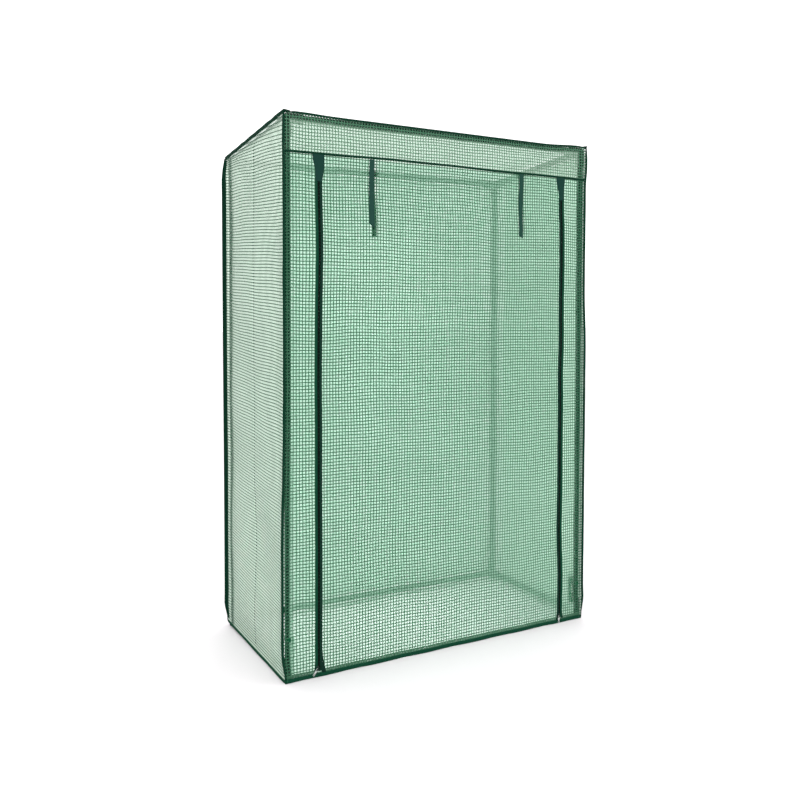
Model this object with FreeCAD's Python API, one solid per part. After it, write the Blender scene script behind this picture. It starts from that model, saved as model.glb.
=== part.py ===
import FreeCAD, Part
import math
import os
from FreeCAD import Vector

# Tomato greenhouse: a tube frame with corner connectors under a sewn film cover.
# Millimetres, +Z up, front towards -Y, origin at the middle of the footprint on the ground.

# Cover, measured over the film
cover_width = 1000.0
cover_depth = 500.0
front_height = 1500.0
roof_fall = 50.0
film_thickness = 0.6
trim_thickness = 0.8
hem_clearance = 2.0
hem_height = 13.0
roof_trim_width = 14.0
corner_trim_width = 8.0
cover_clearance = 0.5

# Tube frame
tube_diameter = 19.0
tube_wall = 0.8
tube_fit = 0.15
socket_wall = 2.4
socket_length = 45.0
socket_chamfer = 1.2
connector_core = 16.0
bottom_rail_height = 20.0
post_joint_height = 740.0
spigot_length = 40.0
spigot_shoulder = 3.0

# Doorway in the front wall
header_height = 106.0
header_trim_width = 8.0
zip_offset = 405.0
zip_gap = 0.4
tape_width = 10.0
patch_width = 34.0
patch_length = 70.0

# Roll-up door: a fixed top section and hinged sections that shorten towards the hem
section_count = 15
section_ratio = 0.92
roll_headroom = 4.0

# Ribbons that tie the rolled door, and ribbons that tie the cover to the posts
ribbon_offset = 250.0
ribbon_width = 14.0
ribbon_thickness = 0.6
outer_ribbon_length = 181.0
inner_ribbon_length = 198.0
tie_width = 12.0
tie_fit = 0.3
tie_tail_length = 44.0

# Zip sliders and their pulls
slider_width = 7.4
slider_length = 14.0
slider_plate = 2.0
slider_side_gap = 0.5
slider_fit = 0.2
slider_height = 25.0
bail_width = 2.6
bail_gap = 2.0
bail_thickness = 1.2
bail_span = 11.0
pull_thickness = 1.2
pull_arm_width = 1.6
pull_bail_fit = 0.4
pull_window = 7.5
pull_length = 22.0
slider_stop_gap = 3.0

# Places that follow from the sizes above
slider_reach = trim_thickness + slider_fit + slider_plate + bail_gap + bail_thickness
depth_shift = (slider_reach - trim_thickness) / 2
front_y = depth_shift - cover_depth / 2
rear_y = depth_shift + cover_depth / 2
side_x = cover_width / 2
roof_slope = roof_fall / cover_depth
roof_angle = math.atan(roof_slope)
tube_radius = tube_diameter / 2
socket_bore = tube_radius + tube_fit
socket_radius = socket_bore + socket_wall
axis_inset = socket_radius + cover_clearance + film_thickness
post_x = side_x - axis_inset
post_front_y = front_y + axis_inset
post_rear_y = rear_y - axis_inset
hem_top = hem_clearance + hem_height
header_z = front_height - header_height
patch_top = header_z - header_trim_width / 2
patch_bottom = patch_top - patch_length
door_half_width = zip_offset - zip_gap / 2
tape_inner = door_half_width - tape_width
strip_inner = zip_offset + zip_gap / 2
trim_front_y = front_y - trim_thickness
tie_z = bottom_rail_height + socket_length + tie_fit + tie_tail_length


def roof_z(y):
    """Height of the roof film's upper face."""
    return front_height - roof_slope * (y - front_y)


def under_roof_z(y):
    """Height of the roof film's lower face."""
    return roof_z(y) - film_thickness / math.cos(roof_angle)


def rail_z(y):
    """Height of the top rails' centre lines."""
    return roof_z(y) - axis_inset / math.cos(roof_angle)


def box(x0, x1, y0, y1, z0, z1):
    return Part.makeBox(x1 - x0, y1 - y0, z1 - z0, Vector(x0, y0, z0))


def side_prism(points, x0, x1):
    """A prism along X over a list of (y, z) points."""
    corners = [Vector(x0, y, z) for y, z in points]
    face = Part.Face(Part.makePolygon(corners + corners[:1]))
    return face.extrude(Vector(x1 - x0, 0, 0))


def front_prism(points, y0, y1):
    """A prism along Y over a list of (x, z) points."""
    corners = [Vector(x, y0, z) for x, z in points]
    face = Part.Face(Part.makePolygon(corners + corners[:1]))
    return face.extrude(Vector(0, y1 - y0, 0))


def mirrored(shape):
    """The same shape on the other side of the middle plane."""
    return shape.mirror(Vector(0, 0, 0), Vector(1, 0, 0))


def turned(profile, start, direction):
    """A solid of revolution from (radius, distance) points, set at start along direction."""
    corners = [Vector(radius, 0, distance) for radius, distance in profile]
    face = Part.Face(Part.makePolygon(corners + corners[:1]))
    solid = face.revolve(Vector(0, 0, 0), Vector(0, 0, 1), 360)
    turn = FreeCAD.Rotation(Vector(0, 0, 1), direction)
    solid.Placement = FreeCAD.Placement(start, turn)
    return solid


def save(node, *solids):
    """Write the solids of one node to its own file."""
    shape = solids[0] if len(solids) == 1 else Part.makeCompound(list(solids))
    shape.exportStep("parts/" + node + ".step")


def tube(start, end):
    """A plain round tube between two points."""
    bore = tube_radius - tube_wall
    length = (end - start).Length
    profile = [(bore, 0), (tube_radius, 0), (tube_radius, length), (bore, length)]
    return turned(profile, start, end - start)


def rail(corner_a, corner_b):
    """A tube between two connectors, its ends against their cores."""
    step = (corner_b - corner_a).normalize() * connector_core
    return tube(corner_a + step, corner_b - step)


def lower_post(x, y):
    """The lower tube of a post, with a narrowed top end that enters the upper tube."""
    base = bottom_rail_height + connector_core
    shoulder = post_joint_height - base
    tip = shoulder + spigot_length
    bore = tube_radius - tube_wall
    spigot = bore - tube_fit
    spigot_bore = spigot - tube_wall
    profile = [
        (bore, 0), (tube_radius, 0), (tube_radius, shoulder), (spigot, shoulder), (spigot, tip),
        (spigot_bore, tip), (spigot_bore, shoulder), (bore, shoulder - spigot_shoulder),
    ]
    return turned(profile, Vector(x, y, base), Vector(0, 0, 1))


def upper_post(x, y):
    """The upper tube of a post, from the joint to the top connector's core."""
    top = rail_z(y) - connector_core
    return tube(Vector(x, y, post_joint_height), Vector(x, y, top))


def socket(centre, direction):
    """One closed arm of a connector, before its bore is cut."""
    edge = socket_radius - socket_chamfer
    profile = [
        (0, 0), (socket_radius, 0), (socket_radius, socket_length - socket_chamfer),
        (edge, socket_length), (0, socket_length),
    ]
    return turned(profile, centre, direction)


def socket_hole(centre, direction):
    """The bore of one arm, from the connector's core to its mouth."""
    profile = [
        (0, connector_core), (socket_bore, connector_core),
        (socket_bore, socket_length), (0, socket_length),
    ]
    return turned(profile, centre, direction)


def connector(centre, directions, foot_length=0.0):
    """A corner connector with one arm per direction, and a flat round foot where it stands on the ground."""
    # It is joined round the origin and moved afterwards, so that the joining is the same at every size
    origin = Vector(0, 0, 0)
    body = Part.makeSphere(socket_radius, origin)
    for direction in directions:
        body = body.fuse(socket(origin, direction))
    if foot_length > 0:
        body = body.fuse(Part.makeCylinder(socket_radius, foot_length, origin, Vector(0, 0, -1)))
    for direction in directions:
        body = body.cut(socket_hole(origin, direction))
    body = body.removeSplitter()
    body.translate(centre)
    return body


def ribbon_ring(x, y, inward):
    """A ribbon loop tied round a post, with two tails on the post's inner side."""
    inner = tube_radius + tie_fit
    outer = inner + ribbon_thickness
    z0 = tie_z
    z1 = tie_z + tie_width
    tail_x = x + inward * (inner + outer) / 2
    tails = [
        box(
            tail_x - ribbon_thickness / 2, tail_x + ribbon_thickness / 2,
            y + start, y + start + tie_width / 2, z0 - tie_tail_length, z0,
        )
        for start in (-tie_width / 2 - tie_fit / 2, tie_fit / 2)
    ]
    return [
        box(x - outer, x - inner, y - outer, y + outer, z0, z1),
        box(x + inner, x + outer, y - outer, y + outer, z0, z1),
        box(x - inner, x + inner, y - outer, y - inner, z0, z1),
        box(x - inner, x + inner, y + inner, y + outer, z0, z1),
        *tails,
    ]


def make_frame():
    sides = {"left": -post_x, "right": post_x}
    ends = {"front": post_front_y, "rear": post_rear_y}
    for side, x in sides.items():
        for end, y in ends.items():
            save(end + "_" + side + "_lower_post", lower_post(x, y))
            save(end + "_" + side + "_upper_post", upper_post(x, y))
    for end, y in ends.items():
        save("top_" + end + "_rail", rail(Vector(-post_x, y, rail_z(y)), Vector(post_x, y, rail_z(y))))
    # The doorway has no rail along the ground
    save("bottom_rear_rail", rail(
        Vector(-post_x, post_rear_y, bottom_rail_height), Vector(post_x, post_rear_y, bottom_rail_height)))
    for side, x in sides.items():
        save("top_" + side + "_rail", rail(
            Vector(x, post_front_y, rail_z(post_front_y)), Vector(x, post_rear_y, rail_z(post_rear_y))))
        save("bottom_" + side + "_rail", rail(
            Vector(x, post_front_y, bottom_rail_height), Vector(x, post_rear_y, bottom_rail_height)))
    down_the_roof = Vector(0, math.cos(roof_angle), -math.sin(roof_angle))
    for end, y in ends.items():
        towards_rear = 1 if end == "front" else -1
        top = connector(
            Vector(-post_x, y, rail_z(y)),
            [Vector(1, 0, 0), down_the_roof * towards_rear, Vector(0, 0, -1)],
        )
        bottom_arms = [Vector(0, towards_rear, 0), Vector(0, 0, 1)]
        if end == "rear":
            bottom_arms.append(Vector(1, 0, 0))
        bottom = connector(Vector(-post_x, y, bottom_rail_height), bottom_arms, bottom_rail_height)
        save("top_" + end + "_connectors", top, mirrored(top))
        save("bottom_" + end + "_connectors", bottom, mirrored(bottom))
    rings = []
    for y in ends.values():
        rings += ribbon_ring(-post_x, y, 1)
        rings += ribbon_ring(post_x, y, -1)
    save("post_ties", *rings)


def make_cover():
    inner_front = front_y + film_thickness
    inner_rear = rear_y - film_thickness
    roof = side_prism(
        [
            (front_y, under_roof_z(front_y)), (rear_y, under_roof_z(rear_y)),
            (rear_y, roof_z(rear_y)), (front_y, roof_z(front_y)),
        ],
        -side_x, side_x,
    )
    save("roof_panel", roof)
    side = side_prism(
        [
            (inner_front, hem_clearance), (inner_rear, hem_clearance),
            (inner_rear, under_roof_z(inner_rear)), (inner_front, under_roof_z(inner_front)),
        ],
        -side_x, film_thickness - side_x,
    )
    save("left_panel", side)
    save("right_panel", mirrored(side))
    rear = side_prism(
        [
            (inner_rear, hem_clearance), (rear_y, hem_clearance),
            (rear_y, under_roof_z(rear_y)), (inner_rear, under_roof_z(inner_rear)),
        ],
        -side_x, side_x,
    )
    save("rear_panel", rear)
    header = side_prism(
        [
            (front_y, header_z), (inner_front, header_z),
            (inner_front, under_roof_z(inner_front)), (front_y, under_roof_z(front_y)),
        ],
        -side_x, side_x,
    )
    save("front_header", header)
    strip = box(-side_x, -strip_inner, front_y, inner_front, hem_clearance, header_z)
    save("front_left_panel", strip)
    save("front_right_panel", mirrored(strip))


def roof_strip(y0, y1, x0, x1):
    """A strip of trim lying on the roof film."""
    rise = trim_thickness / math.cos(roof_angle)
    points = [(y0, roof_z(y0)), (y1, roof_z(y1)), (y1, roof_z(y1) + rise), (y0, roof_z(y0) + rise)]
    return side_prism(points, x0, x1)


def edge_strip(y0, y1, x0, x1):
    """A strip of trim hanging from the roof edge down a side wall."""
    drop = roof_trim_width
    points = [(y0, roof_z(y0) - drop), (y1, roof_z(y1) - drop), (y1, roof_z(y1)), (y0, roof_z(y0))]
    return side_prism(points, x0, x1)


def corner_side_strip(y0, y1):
    """A strip of trim up a side wall beside a vertical corner of the cover."""
    drop = roof_trim_width
    points = [(y0, hem_top), (y1, hem_top), (y1, roof_z(y1) - drop), (y0, roof_z(y0) - drop)]
    return side_prism(points, -side_x - trim_thickness, -side_x)


def make_trim():
    trim_x = side_x + trim_thickness
    trim_rear_y = rear_y + trim_thickness
    front_roof_y = front_y + roof_trim_width
    rear_roof_y = rear_y - roof_trim_width
    side_top = roof_strip(front_roof_y, rear_roof_y, -trim_x, roof_trim_width - side_x)
    side_edge = edge_strip(front_y, rear_y, -trim_x, -side_x)
    save(
        "roof_binding",
        roof_strip(trim_front_y, front_roof_y, -trim_x, trim_x),
        roof_strip(rear_roof_y, trim_rear_y, -trim_x, trim_x),
        edge_strip(trim_front_y, front_y, -trim_x, trim_x),
        edge_strip(rear_y, trim_rear_y, -trim_x, trim_x),
        side_top, mirrored(side_top), side_edge, mirrored(side_edge),
    )
    corner_x = corner_trim_width - side_x
    front_top = roof_z(front_y) - roof_trim_width
    rear_top = roof_z(trim_rear_y) - roof_trim_width
    corner_strips = [
        box(-trim_x, corner_x, trim_front_y, front_y, hem_top, front_top),
        box(-trim_x, corner_x, rear_y, trim_rear_y, hem_top, rear_top),
        corner_side_strip(front_y, front_y + corner_trim_width),
        corner_side_strip(rear_y - corner_trim_width, rear_y),
    ]
    save("corner_binding", *corner_strips, *[mirrored(strip) for strip in corner_strips])
    side_hem = box(-trim_x, -side_x, front_y, rear_y, hem_clearance, hem_top)
    strip_hem = box(-trim_x, -strip_inner, trim_front_y, front_y, hem_clearance, hem_top)
    rear_hem = box(-trim_x, trim_x, rear_y, trim_rear_y, hem_clearance, hem_top)
    save("hem_binding", side_hem, mirrored(side_hem), strip_hem, mirrored(strip_hem), rear_hem)
    half_trim = header_trim_width / 2
    save("header_binding", box(
        corner_x, -corner_x, trim_front_y, front_y, header_z - half_trim, header_z + half_trim))
    fixed_tape = box(
        -strip_inner - tape_width, -strip_inner, trim_front_y, front_y, hem_top, patch_bottom)
    save("left_zip_tape", fixed_tape)
    save("right_zip_tape", mirrored(fixed_tape))
    half_patch = patch_width / 2
    half_zip = tape_width + zip_gap / 2
    patch = front_prism(
        [
            (-zip_offset - half_zip, patch_bottom), (-zip_offset + half_zip, patch_bottom),
            (-zip_offset + half_patch, patch_top), (-zip_offset - half_patch, patch_top),
        ],
        trim_front_y, front_y,
    )
    save("zip_top_patches", patch, mirrored(patch))


def section_heights():
    """Heights of the door's hinge lines from the top one down, ending at the hem."""
    shares = sum(section_ratio ** index for index in range(section_count))
    door_length = header_z - hem_clearance
    longest = (door_length - roll_headroom) / (shares + 1)
    heights = [header_z - longest - roll_headroom]
    for index in range(section_count):
        heights.append(heights[-1] - longest * section_ratio ** index)
    return heights


def door_section(z0, z1, tape_z0, tape_z1):
    """Film of one door section, with a zip tape on each side edge."""
    film = box(-door_half_width, door_half_width, front_y, front_y + film_thickness, z0, z1)
    tape = box(-door_half_width, -tape_inner, trim_front_y, front_y, tape_z0, tape_z1)
    return [film, tape, mirrored(tape)]


def hanging_ribbon(y0, z0, z1):
    """A pair of door ribbons, one each side of the middle."""
    half = ribbon_width / 2
    ribbon = box(-ribbon_offset - half, half - ribbon_offset, y0, y0 + ribbon_thickness, z0, z1)
    return [ribbon, mirrored(ribbon)]


def make_door():
    heights = section_heights()
    save("door_top_section", *door_section(heights[0], header_z, heights[0], patch_bottom))
    for index in range(section_count):
        top = heights[index]
        bottom = heights[index + 1]
        last = index == section_count - 1
        solids = door_section(bottom, top, hem_top if last else bottom, top)
        if last:
            solids.append(box(-door_half_width, door_half_width, trim_front_y, front_y, bottom, hem_top))
        save("door_section_{:02d}".format(index + 1), *solids)
    outer_y = front_y - ribbon_thickness
    ribbon_end = header_z - outer_ribbon_length
    save("outer_ribbon_tops", *hanging_ribbon(outer_y, heights[0], patch_top))
    save("outer_ribbon_ends", *hanging_ribbon(outer_y, ribbon_end, heights[0]))
    save("inner_ribbons", *hanging_ribbon(
        front_y + film_thickness, header_z - inner_ribbon_length, header_z))
    return heights


def make_slider():
    """A zip slider: a plate on the tape, with a bail that holds the pull."""
    x1 = -strip_inner - slider_side_gap
    x0 = x1 - slider_width
    middle = (x0 + x1) / 2
    back = trim_front_y - slider_fit
    face = back - slider_plate
    bail_back = face - bail_gap
    bail_face = bail_back - bail_thickness
    z0 = slider_height - slider_length / 2
    z1 = slider_height + slider_length / 2
    plate = box(x0, x1, face, back, z0, z1)
    half_bail = bail_width / 2
    bail = box(
        middle - half_bail, middle + half_bail, bail_face, face,
        slider_height - bail_span / 2, slider_height + bail_span / 2,
    )
    gap = box(
        middle - half_bail, middle + half_bail, bail_back, face,
        slider_height - bail_span / 2 + bail_thickness, slider_height + bail_span / 2 - bail_thickness,
    )
    return plate.fuse(bail.cut(gap)).removeSplitter()


def make_pull():
    """A flat pull tab with a window round the bail and a round bar under the bail."""
    middle = -strip_inner - slider_side_gap - slider_width / 2
    axis_y = pull_axis_y()
    half_inside = bail_width / 2 + pull_bail_fit
    half = half_inside + pull_arm_width
    half_thick = pull_thickness / 2
    tab = box(
        middle - half, middle + half, axis_y - half_thick, axis_y + half_thick,
        slider_height - pull_length, slider_height,
    )
    bar_end = Vector(middle - half, axis_y, slider_height)
    bar = Part.makeCylinder(half_thick, 2 * half, bar_end, Vector(1, 0, 0))
    window = box(
        middle - half_inside, middle + half_inside, axis_y - half_thick, axis_y + half_thick,
        slider_height - pull_window, slider_height - half_thick,
    )
    return tab.fuse(bar).cut(window).removeSplitter()


def pull_axis_y():
    """Depth of the pull's bar, midway between the slider's plate and its bail."""
    return trim_front_y - slider_fit - slider_plate - bail_gap / 2


def make_zip():
    slider = make_slider()
    pull = make_pull()
    save("left_zip_slider", slider)
    save("right_zip_slider", mirrored(slider))
    save("left_zip_pull", pull)
    save("right_zip_pull", mirrored(pull))


def print_joints(heights):
    """The joint places that go with these sizes."""
    print("door hinges: y", round(trim_front_y, 3), "z", [round(z, 3) for z in heights[:-1]])
    print("pull hinges: y", round(pull_axis_y(), 3), "z", slider_height)
    travel = patch_bottom - slider_stop_gap - slider_height - slider_length / 2
    print("slider travel:", round(travel, 3))


os.makedirs("parts", exist_ok=True)
make_frame()
make_cover()
make_trim()
make_zip()
print_joints(make_door())
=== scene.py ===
import math

import bpy
import numpy as np
from mathutils import Euler, Matrix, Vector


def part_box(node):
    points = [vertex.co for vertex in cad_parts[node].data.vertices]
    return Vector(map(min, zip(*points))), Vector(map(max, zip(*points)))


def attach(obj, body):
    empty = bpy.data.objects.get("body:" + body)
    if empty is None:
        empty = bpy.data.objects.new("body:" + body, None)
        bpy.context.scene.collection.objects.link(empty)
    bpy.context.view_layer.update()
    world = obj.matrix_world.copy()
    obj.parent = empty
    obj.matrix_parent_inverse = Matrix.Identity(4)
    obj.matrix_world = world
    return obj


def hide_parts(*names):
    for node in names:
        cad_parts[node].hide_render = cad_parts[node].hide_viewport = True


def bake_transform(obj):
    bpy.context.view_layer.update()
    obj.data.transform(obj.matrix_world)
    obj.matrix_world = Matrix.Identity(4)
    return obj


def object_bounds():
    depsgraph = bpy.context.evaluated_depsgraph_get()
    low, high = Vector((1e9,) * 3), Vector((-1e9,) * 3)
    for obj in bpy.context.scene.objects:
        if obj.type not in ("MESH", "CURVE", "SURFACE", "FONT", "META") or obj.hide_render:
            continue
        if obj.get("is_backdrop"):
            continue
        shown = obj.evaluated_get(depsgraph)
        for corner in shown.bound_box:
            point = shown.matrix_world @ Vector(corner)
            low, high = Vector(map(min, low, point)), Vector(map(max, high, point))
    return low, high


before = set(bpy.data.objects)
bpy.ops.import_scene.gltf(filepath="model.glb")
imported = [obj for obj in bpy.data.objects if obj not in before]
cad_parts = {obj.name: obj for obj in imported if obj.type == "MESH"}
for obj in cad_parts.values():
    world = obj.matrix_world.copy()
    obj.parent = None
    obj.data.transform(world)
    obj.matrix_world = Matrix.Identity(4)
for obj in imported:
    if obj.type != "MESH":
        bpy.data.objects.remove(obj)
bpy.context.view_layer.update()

mm = 0.001
filmThick = 0.6 * mm

# Planes of the cover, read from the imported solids
headerLow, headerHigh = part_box("front_header")
rearLow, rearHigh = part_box("rear_panel")
roofLow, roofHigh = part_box("roof_panel")
leftLow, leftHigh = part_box("left_panel")
frontEdgeY, rearEdgeY = headerLow.y, rearHigh.y
frontY = (headerLow.y + headerHigh.y) / 2     # middle of the front film
rearY = (rearLow.y + rearHigh.y) / 2
edgeX = roofHigh.x
sideX = -(leftLow.x + leftHigh.x) / 2
headerZ = headerLow.z
floorGap = rearLow.z                          # the cover's lowest edge
roofTop = roofHigh.z
roofSlope = (roofHigh.z - roofLow.z - filmThick) / (rearEdgeY - frontEdgeY)
roofAngle = math.atan(roofSlope)
roofLength = (rearEdgeY - frontEdgeY) / math.cos(roofAngle)
sectionTops = [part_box(f"door_section_{k:02d}")[1].z for k in range(1, 16)]
sections = len(sectionTops)
print("frame read:", len(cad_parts), "nodes,", sections, "door sections")


def roofHeight(y):
    # middle of the roof film: a straight fall from the front to the rear
    return roofTop - filmThick / 2 - roofSlope * (y - frontEdgeY)


def tone(red, green, blue):
    # screen colour from 0 to 255, as linear light
    share = np.array([red, green, blue]) / 255
    light = np.where(share <= 0.04045, share / 12.92, ((share + 0.055) / 1.055) ** 2.4)
    return (*light.tolist(), 1.0)


# A socket of a material; arithmetic on it adds Math nodes
class Link:
    def __init__(self, paint, socket):
        self.paint = paint
        self.socket = socket

    def math(self, operation, other=None, swapped=False):
        pair = [self] if other is None else [other, self] if swapped else [self, other]
        return self.paint.add("ShaderNodeMath", {"operation": operation}, dict(enumerate(pair)))

    def __add__(self, other):
        return self.math("ADD", other)

    def __sub__(self, other):
        return self.math("SUBTRACT", other)

    def __rsub__(self, other):
        return self.math("SUBTRACT", other, True)

    def __mul__(self, other):
        return self.math("MULTIPLY", other)

    def __pow__(self, other):
        return self.math("POWER", other)

    __radd__ = __add__
    __rmul__ = __mul__


# One material's nodes
class Paint:
    def __init__(self, name):
        self.material = bpy.data.materials.new(name)
        self.material.use_nodes = True
        self.tree = self.material.node_tree
        self.tree.nodes.clear()

    def add(self, kind, settings=None, sockets=None, out=0):
        node = self.tree.nodes.new(kind)
        for key, value in (settings or {}).items():
            setattr(node, key, value)
        for key, value in (sockets or {}).items():
            if isinstance(value, Link):
                self.tree.links.new(value.socket, node.inputs[key])
            else:
                node.inputs[key].default_value = value
        return Link(self, node.outputs[out]) if len(node.outputs) else None

    def place(self):
        return self.add("ShaderNodeTexCoord", out="Object")

    def cloth(self):
        # the piece's own map, split into its two parts
        both = self.add("ShaderNodeUVMap", {"uv_map": "cloth"})
        return [self.add("ShaderNodeSeparateXYZ", None, {0: both}, k) for k in (0, 1)]

    def noise(self, where, scale, detail=3.0, rough=0.55):
        return self.add("ShaderNodeTexNoise", None,
                        {"Vector": where, "Scale": scale, "Detail": detail, "Roughness": rough})

    def drawnOut(self, where, scale, detail):
        # noise with a scale of its own along each axis
        return self.noise(self.add("ShaderNodeMapping", None, {"Vector": where, "Scale": scale}), 1.0, detail)

    def between(self, share, first, second):
        return self.add("ShaderNodeMix", {"data_type": "RGBA"}, {0: share, 6: first, 7: second}, 2)

    def bump(self, height, strength, distance):
        return self.add("ShaderNodeBump", None,
                        {"Strength": strength, "Distance": distance, "Height": height})

    def finish(self, sockets):
        shader = self.add("ShaderNodeBsdfPrincipled", None, sockets)
        self.add("ShaderNodeOutputMaterial", None, {"Surface": shader})
        return self.material


pitch = 8.65 * mm      # of the threads in the film


def filmPaint(name, look):
    # milky film: denser and clearer patches, a pillow in every cell, clear where it lies on a tube
    paint = Paint(name)
    where = paint.place()
    cloud = paint.noise(where, 4.0, 4.0)
    crumple = paint.noise(where, 38.0, 5.0, 0.6)
    across, along = paint.cloth()
    pillow = ((across * math.pi).math("SINE") * (along * math.pi).math("SINE")).math("ABSOLUTE")
    clear = paint.add("ShaderNodeAttribute", {"attribute_name": "clear"}, out="Fac")
    milk = look["milk"] + (cloud - 0.5) * 0.10
    alpha = milk - clear * (look["milk"] - look["clearMilk"])
    return paint.finish({
        "Base Color": paint.between(cloud, look["tint"], look["deepTint"]),
        "Roughness": 0.22 + crumple * 0.22,
        "Alpha": alpha,
        "Normal": paint.bump(pillow * 0.6 + crumple, 0.30, 0.5 * mm),
        "IOR": 1.5,
    })


def threadPaint(name, look):
    # flat plastic yarn, darker where two yarns cross; where the film is clear over a tube, ribbon or post, a
    # painted shade of the dark thing behind darkens it
    paint = Paint(name)
    along = paint.cloth()[1]
    # the film's clear share, which masks the yarn's painted shade
    backedShade = paint.add("ShaderNodeAttribute", {"attribute_name": "clear"}, out="Fac")
    cross = ((along * (2 * math.pi)).math("COSINE") * 0.5 + 0.5) ** 5.0
    fleck = paint.noise(paint.place(), 220.0, 2.0)
    plain = paint.between(fleck, look["colour"], look["pale"])
    crossed = paint.between(cross * 0.55, plain, look["crossing"])
    return paint.finish({
        "Base Color": paint.between(backedShade * 0.85, crossed, look["backedShade"]),
        "Roughness": 0.38 + fleck * 0.2,
        "Normal": paint.bump(fleck, 0.25, 0.15 * mm),
        "Specular IOR Level": 0.25,
    })


def clothPaint(name, look):
    # woven tape: fine ribs across, a weft along, fuzz and uneven dye; the weave's grooves are darkened as
    # painted shade
    paint = Paint(name)
    across, along = paint.cloth()
    where = paint.place()
    ribs = (along * (2 * math.pi / look["rib"])).math("SINE") * 0.5 + 0.5
    weft = (across * (2 * math.pi / look["weft"])).math("SINE") * 0.5 + 0.5
    weave = ribs * 0.65 + weft * 0.35
    fuzz = paint.noise(where, 900.0, 2.0)
    dye = paint.noise(where, 26.0, 4.0)
    base = paint.between(dye, look["colour"], look["worn"])
    return paint.finish({
        # painted shade in the grooves of the weave
        "Base Color": paint.between(weave * 0.45 + fuzz * 0.25, look["grooveShade"], base),
        "Roughness": 0.62 + dye * 0.25,
        "Normal": paint.bump(weave + fuzz * 0.5, 0.55, 0.22 * mm),
        "Specular IOR Level": 0.05,
    })


def coatPaint(name, look):
    # sprayed or moulded surface: orange peel or grain, dull patches and fine scuffs
    paint = Paint(name)
    where = paint.place()
    peel = paint.noise(where, look["grain"], 3.0)
    patch = paint.noise(where, 14.0, 4.0)
    scuff = paint.drawnOut(where, (60.0, 60.0, 700.0), 3.0)
    worn = paint.add("ShaderNodeMapRange", None, {"Value": scuff, "From Min": 0.66, "From Max": 0.76})
    base = paint.between(patch, look["colour"], look["dull"])
    return paint.finish({
        "Base Color": paint.between(worn * 0.5, base, look["scuff"]),
        "Roughness": look["rough"] + patch * 0.16 + worn * 0.15,
        "Normal": paint.bump(peel, look["depth"], 0.2 * mm),
        "Specular IOR Level": look["shine"],
    })


def metalPaint(name, look):
    # die-cast zinc: cloudy plating with fine rubbed lines
    paint = Paint(name)
    where = paint.place()
    cloud = paint.noise(where, 160.0, 4.0)
    rubbed = paint.drawnOut(where, (900.0, 900.0, 4000.0), 2.0)
    return paint.finish({
        "Base Color": paint.between(cloud, look["colour"], look["dark"]),
        "Metallic": 1.0,
        "Roughness": 0.34 + cloud * 0.2 + rubbed * 0.1,
        "Normal": paint.bump(rubbed, 0.2, 0.08 * mm),
    })


# The cover is one film throughout: the tints that differ from panel to panel are painted light, paler where a
# panel is to look more brightly lit and palest on the side walls, for the glare on them. How milky the film
# is also differs by panel.
film = filmPaint("film", {
    "tint": tone(166, 213, 186), "deepTint": tone(154, 205, 176), "milk": 0.52, "clearMilk": 0.015})
headerFilm = filmPaint("headerFilm", {
    "tint": tone(186, 214, 194), "deepTint": tone(176, 208, 186), "milk": 0.45, "clearMilk": 0.015})
rightStripFilm = filmPaint("rightStripFilm", {
    "tint": tone(184, 224, 200), "deepTint": tone(174, 218, 192), "milk": 0.60, "clearMilk": 0.015})
rearFilm = filmPaint("rearFilm", {
    "tint": tone(170, 214, 190), "deepTint": tone(158, 206, 180), "milk": 0.52, "clearMilk": 0.015})
roofFilm = filmPaint("roofFilm", {
    "tint": tone(190, 224, 204), "deepTint": tone(180, 218, 196), "milk": 0.30, "clearMilk": 0.015})
sideFilm = filmPaint("sideFilm", {
    "tint": tone(210, 229, 212), "deepTint": tone(202, 225, 206), "milk": 0.82, "clearMilk": 0.15})
yarn = threadPaint("filmYarn", {
    "colour": tone(50, 97, 70), "pale": tone(64, 112, 84), "crossing": tone(27, 61, 42),
    "backedShade": tone(34, 88, 61)})
# headerYarn and sideYarn are the same yarn in other tints: painted light and shade, as with the film panels.
headerYarn = threadPaint("headerYarn", {
    "colour": tone(80, 116, 92), "pale": tone(94, 130, 106), "crossing": tone(48, 84, 62),
    "backedShade": tone(56, 106, 78)})
sideYarn = threadPaint("sideFilmYarn", {
    "colour": tone(52, 86, 64), "pale": tone(64, 100, 78), "crossing": tone(32, 60, 46),
    "backedShade": tone(36, 84, 60)})
# The inner faces of the yarn are painted pale: painted light for the brighter inside of the cover. The door's
# are a darker copy, so that its inner face, which shows when it is rolled up, is not painted too pale.
yarnInside = threadPaint("filmYarnInside", {
    "colour": tone(196, 230, 212), "pale": tone(210, 238, 222), "crossing": tone(184, 222, 202),
    "backedShade": tone(176, 214, 194)})
doorYarnInside = threadPaint("doorYarnInside", {
    "colour": tone(96, 152, 122), "pale": tone(110, 165, 136), "crossing": tone(74, 128, 100),
    "backedShade": tone(90, 146, 116)})
bindingCloth = clothPaint("bindingCloth", {
    "colour": tone(9, 54, 37), "worn": tone(15, 64, 45), "grooveShade": tone(3, 30, 19),
    "rib": 0.9 * mm, "weft": 0.7 * mm})
hemCloth = clothPaint("hemCloth", {
    "colour": tone(14, 70, 49), "worn": tone(22, 82, 59), "grooveShade": tone(6, 42, 28),
    "rib": 0.9 * mm, "weft": 0.7 * mm})
ribbonCloth = clothPaint("ribbonCloth", {
    "colour": tone(36, 72, 62), "worn": tone(48, 86, 74), "grooveShade": tone(18, 44, 38),
    "rib": 1.1 * mm, "weft": 0.8 * mm})
tieCloth = clothPaint("tieCloth", {
    "colour": tone(48, 124, 86), "worn": tone(60, 138, 98), "grooveShade": tone(30, 92, 62),
    "rib": 1.0 * mm, "weft": 0.8 * mm})
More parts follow.
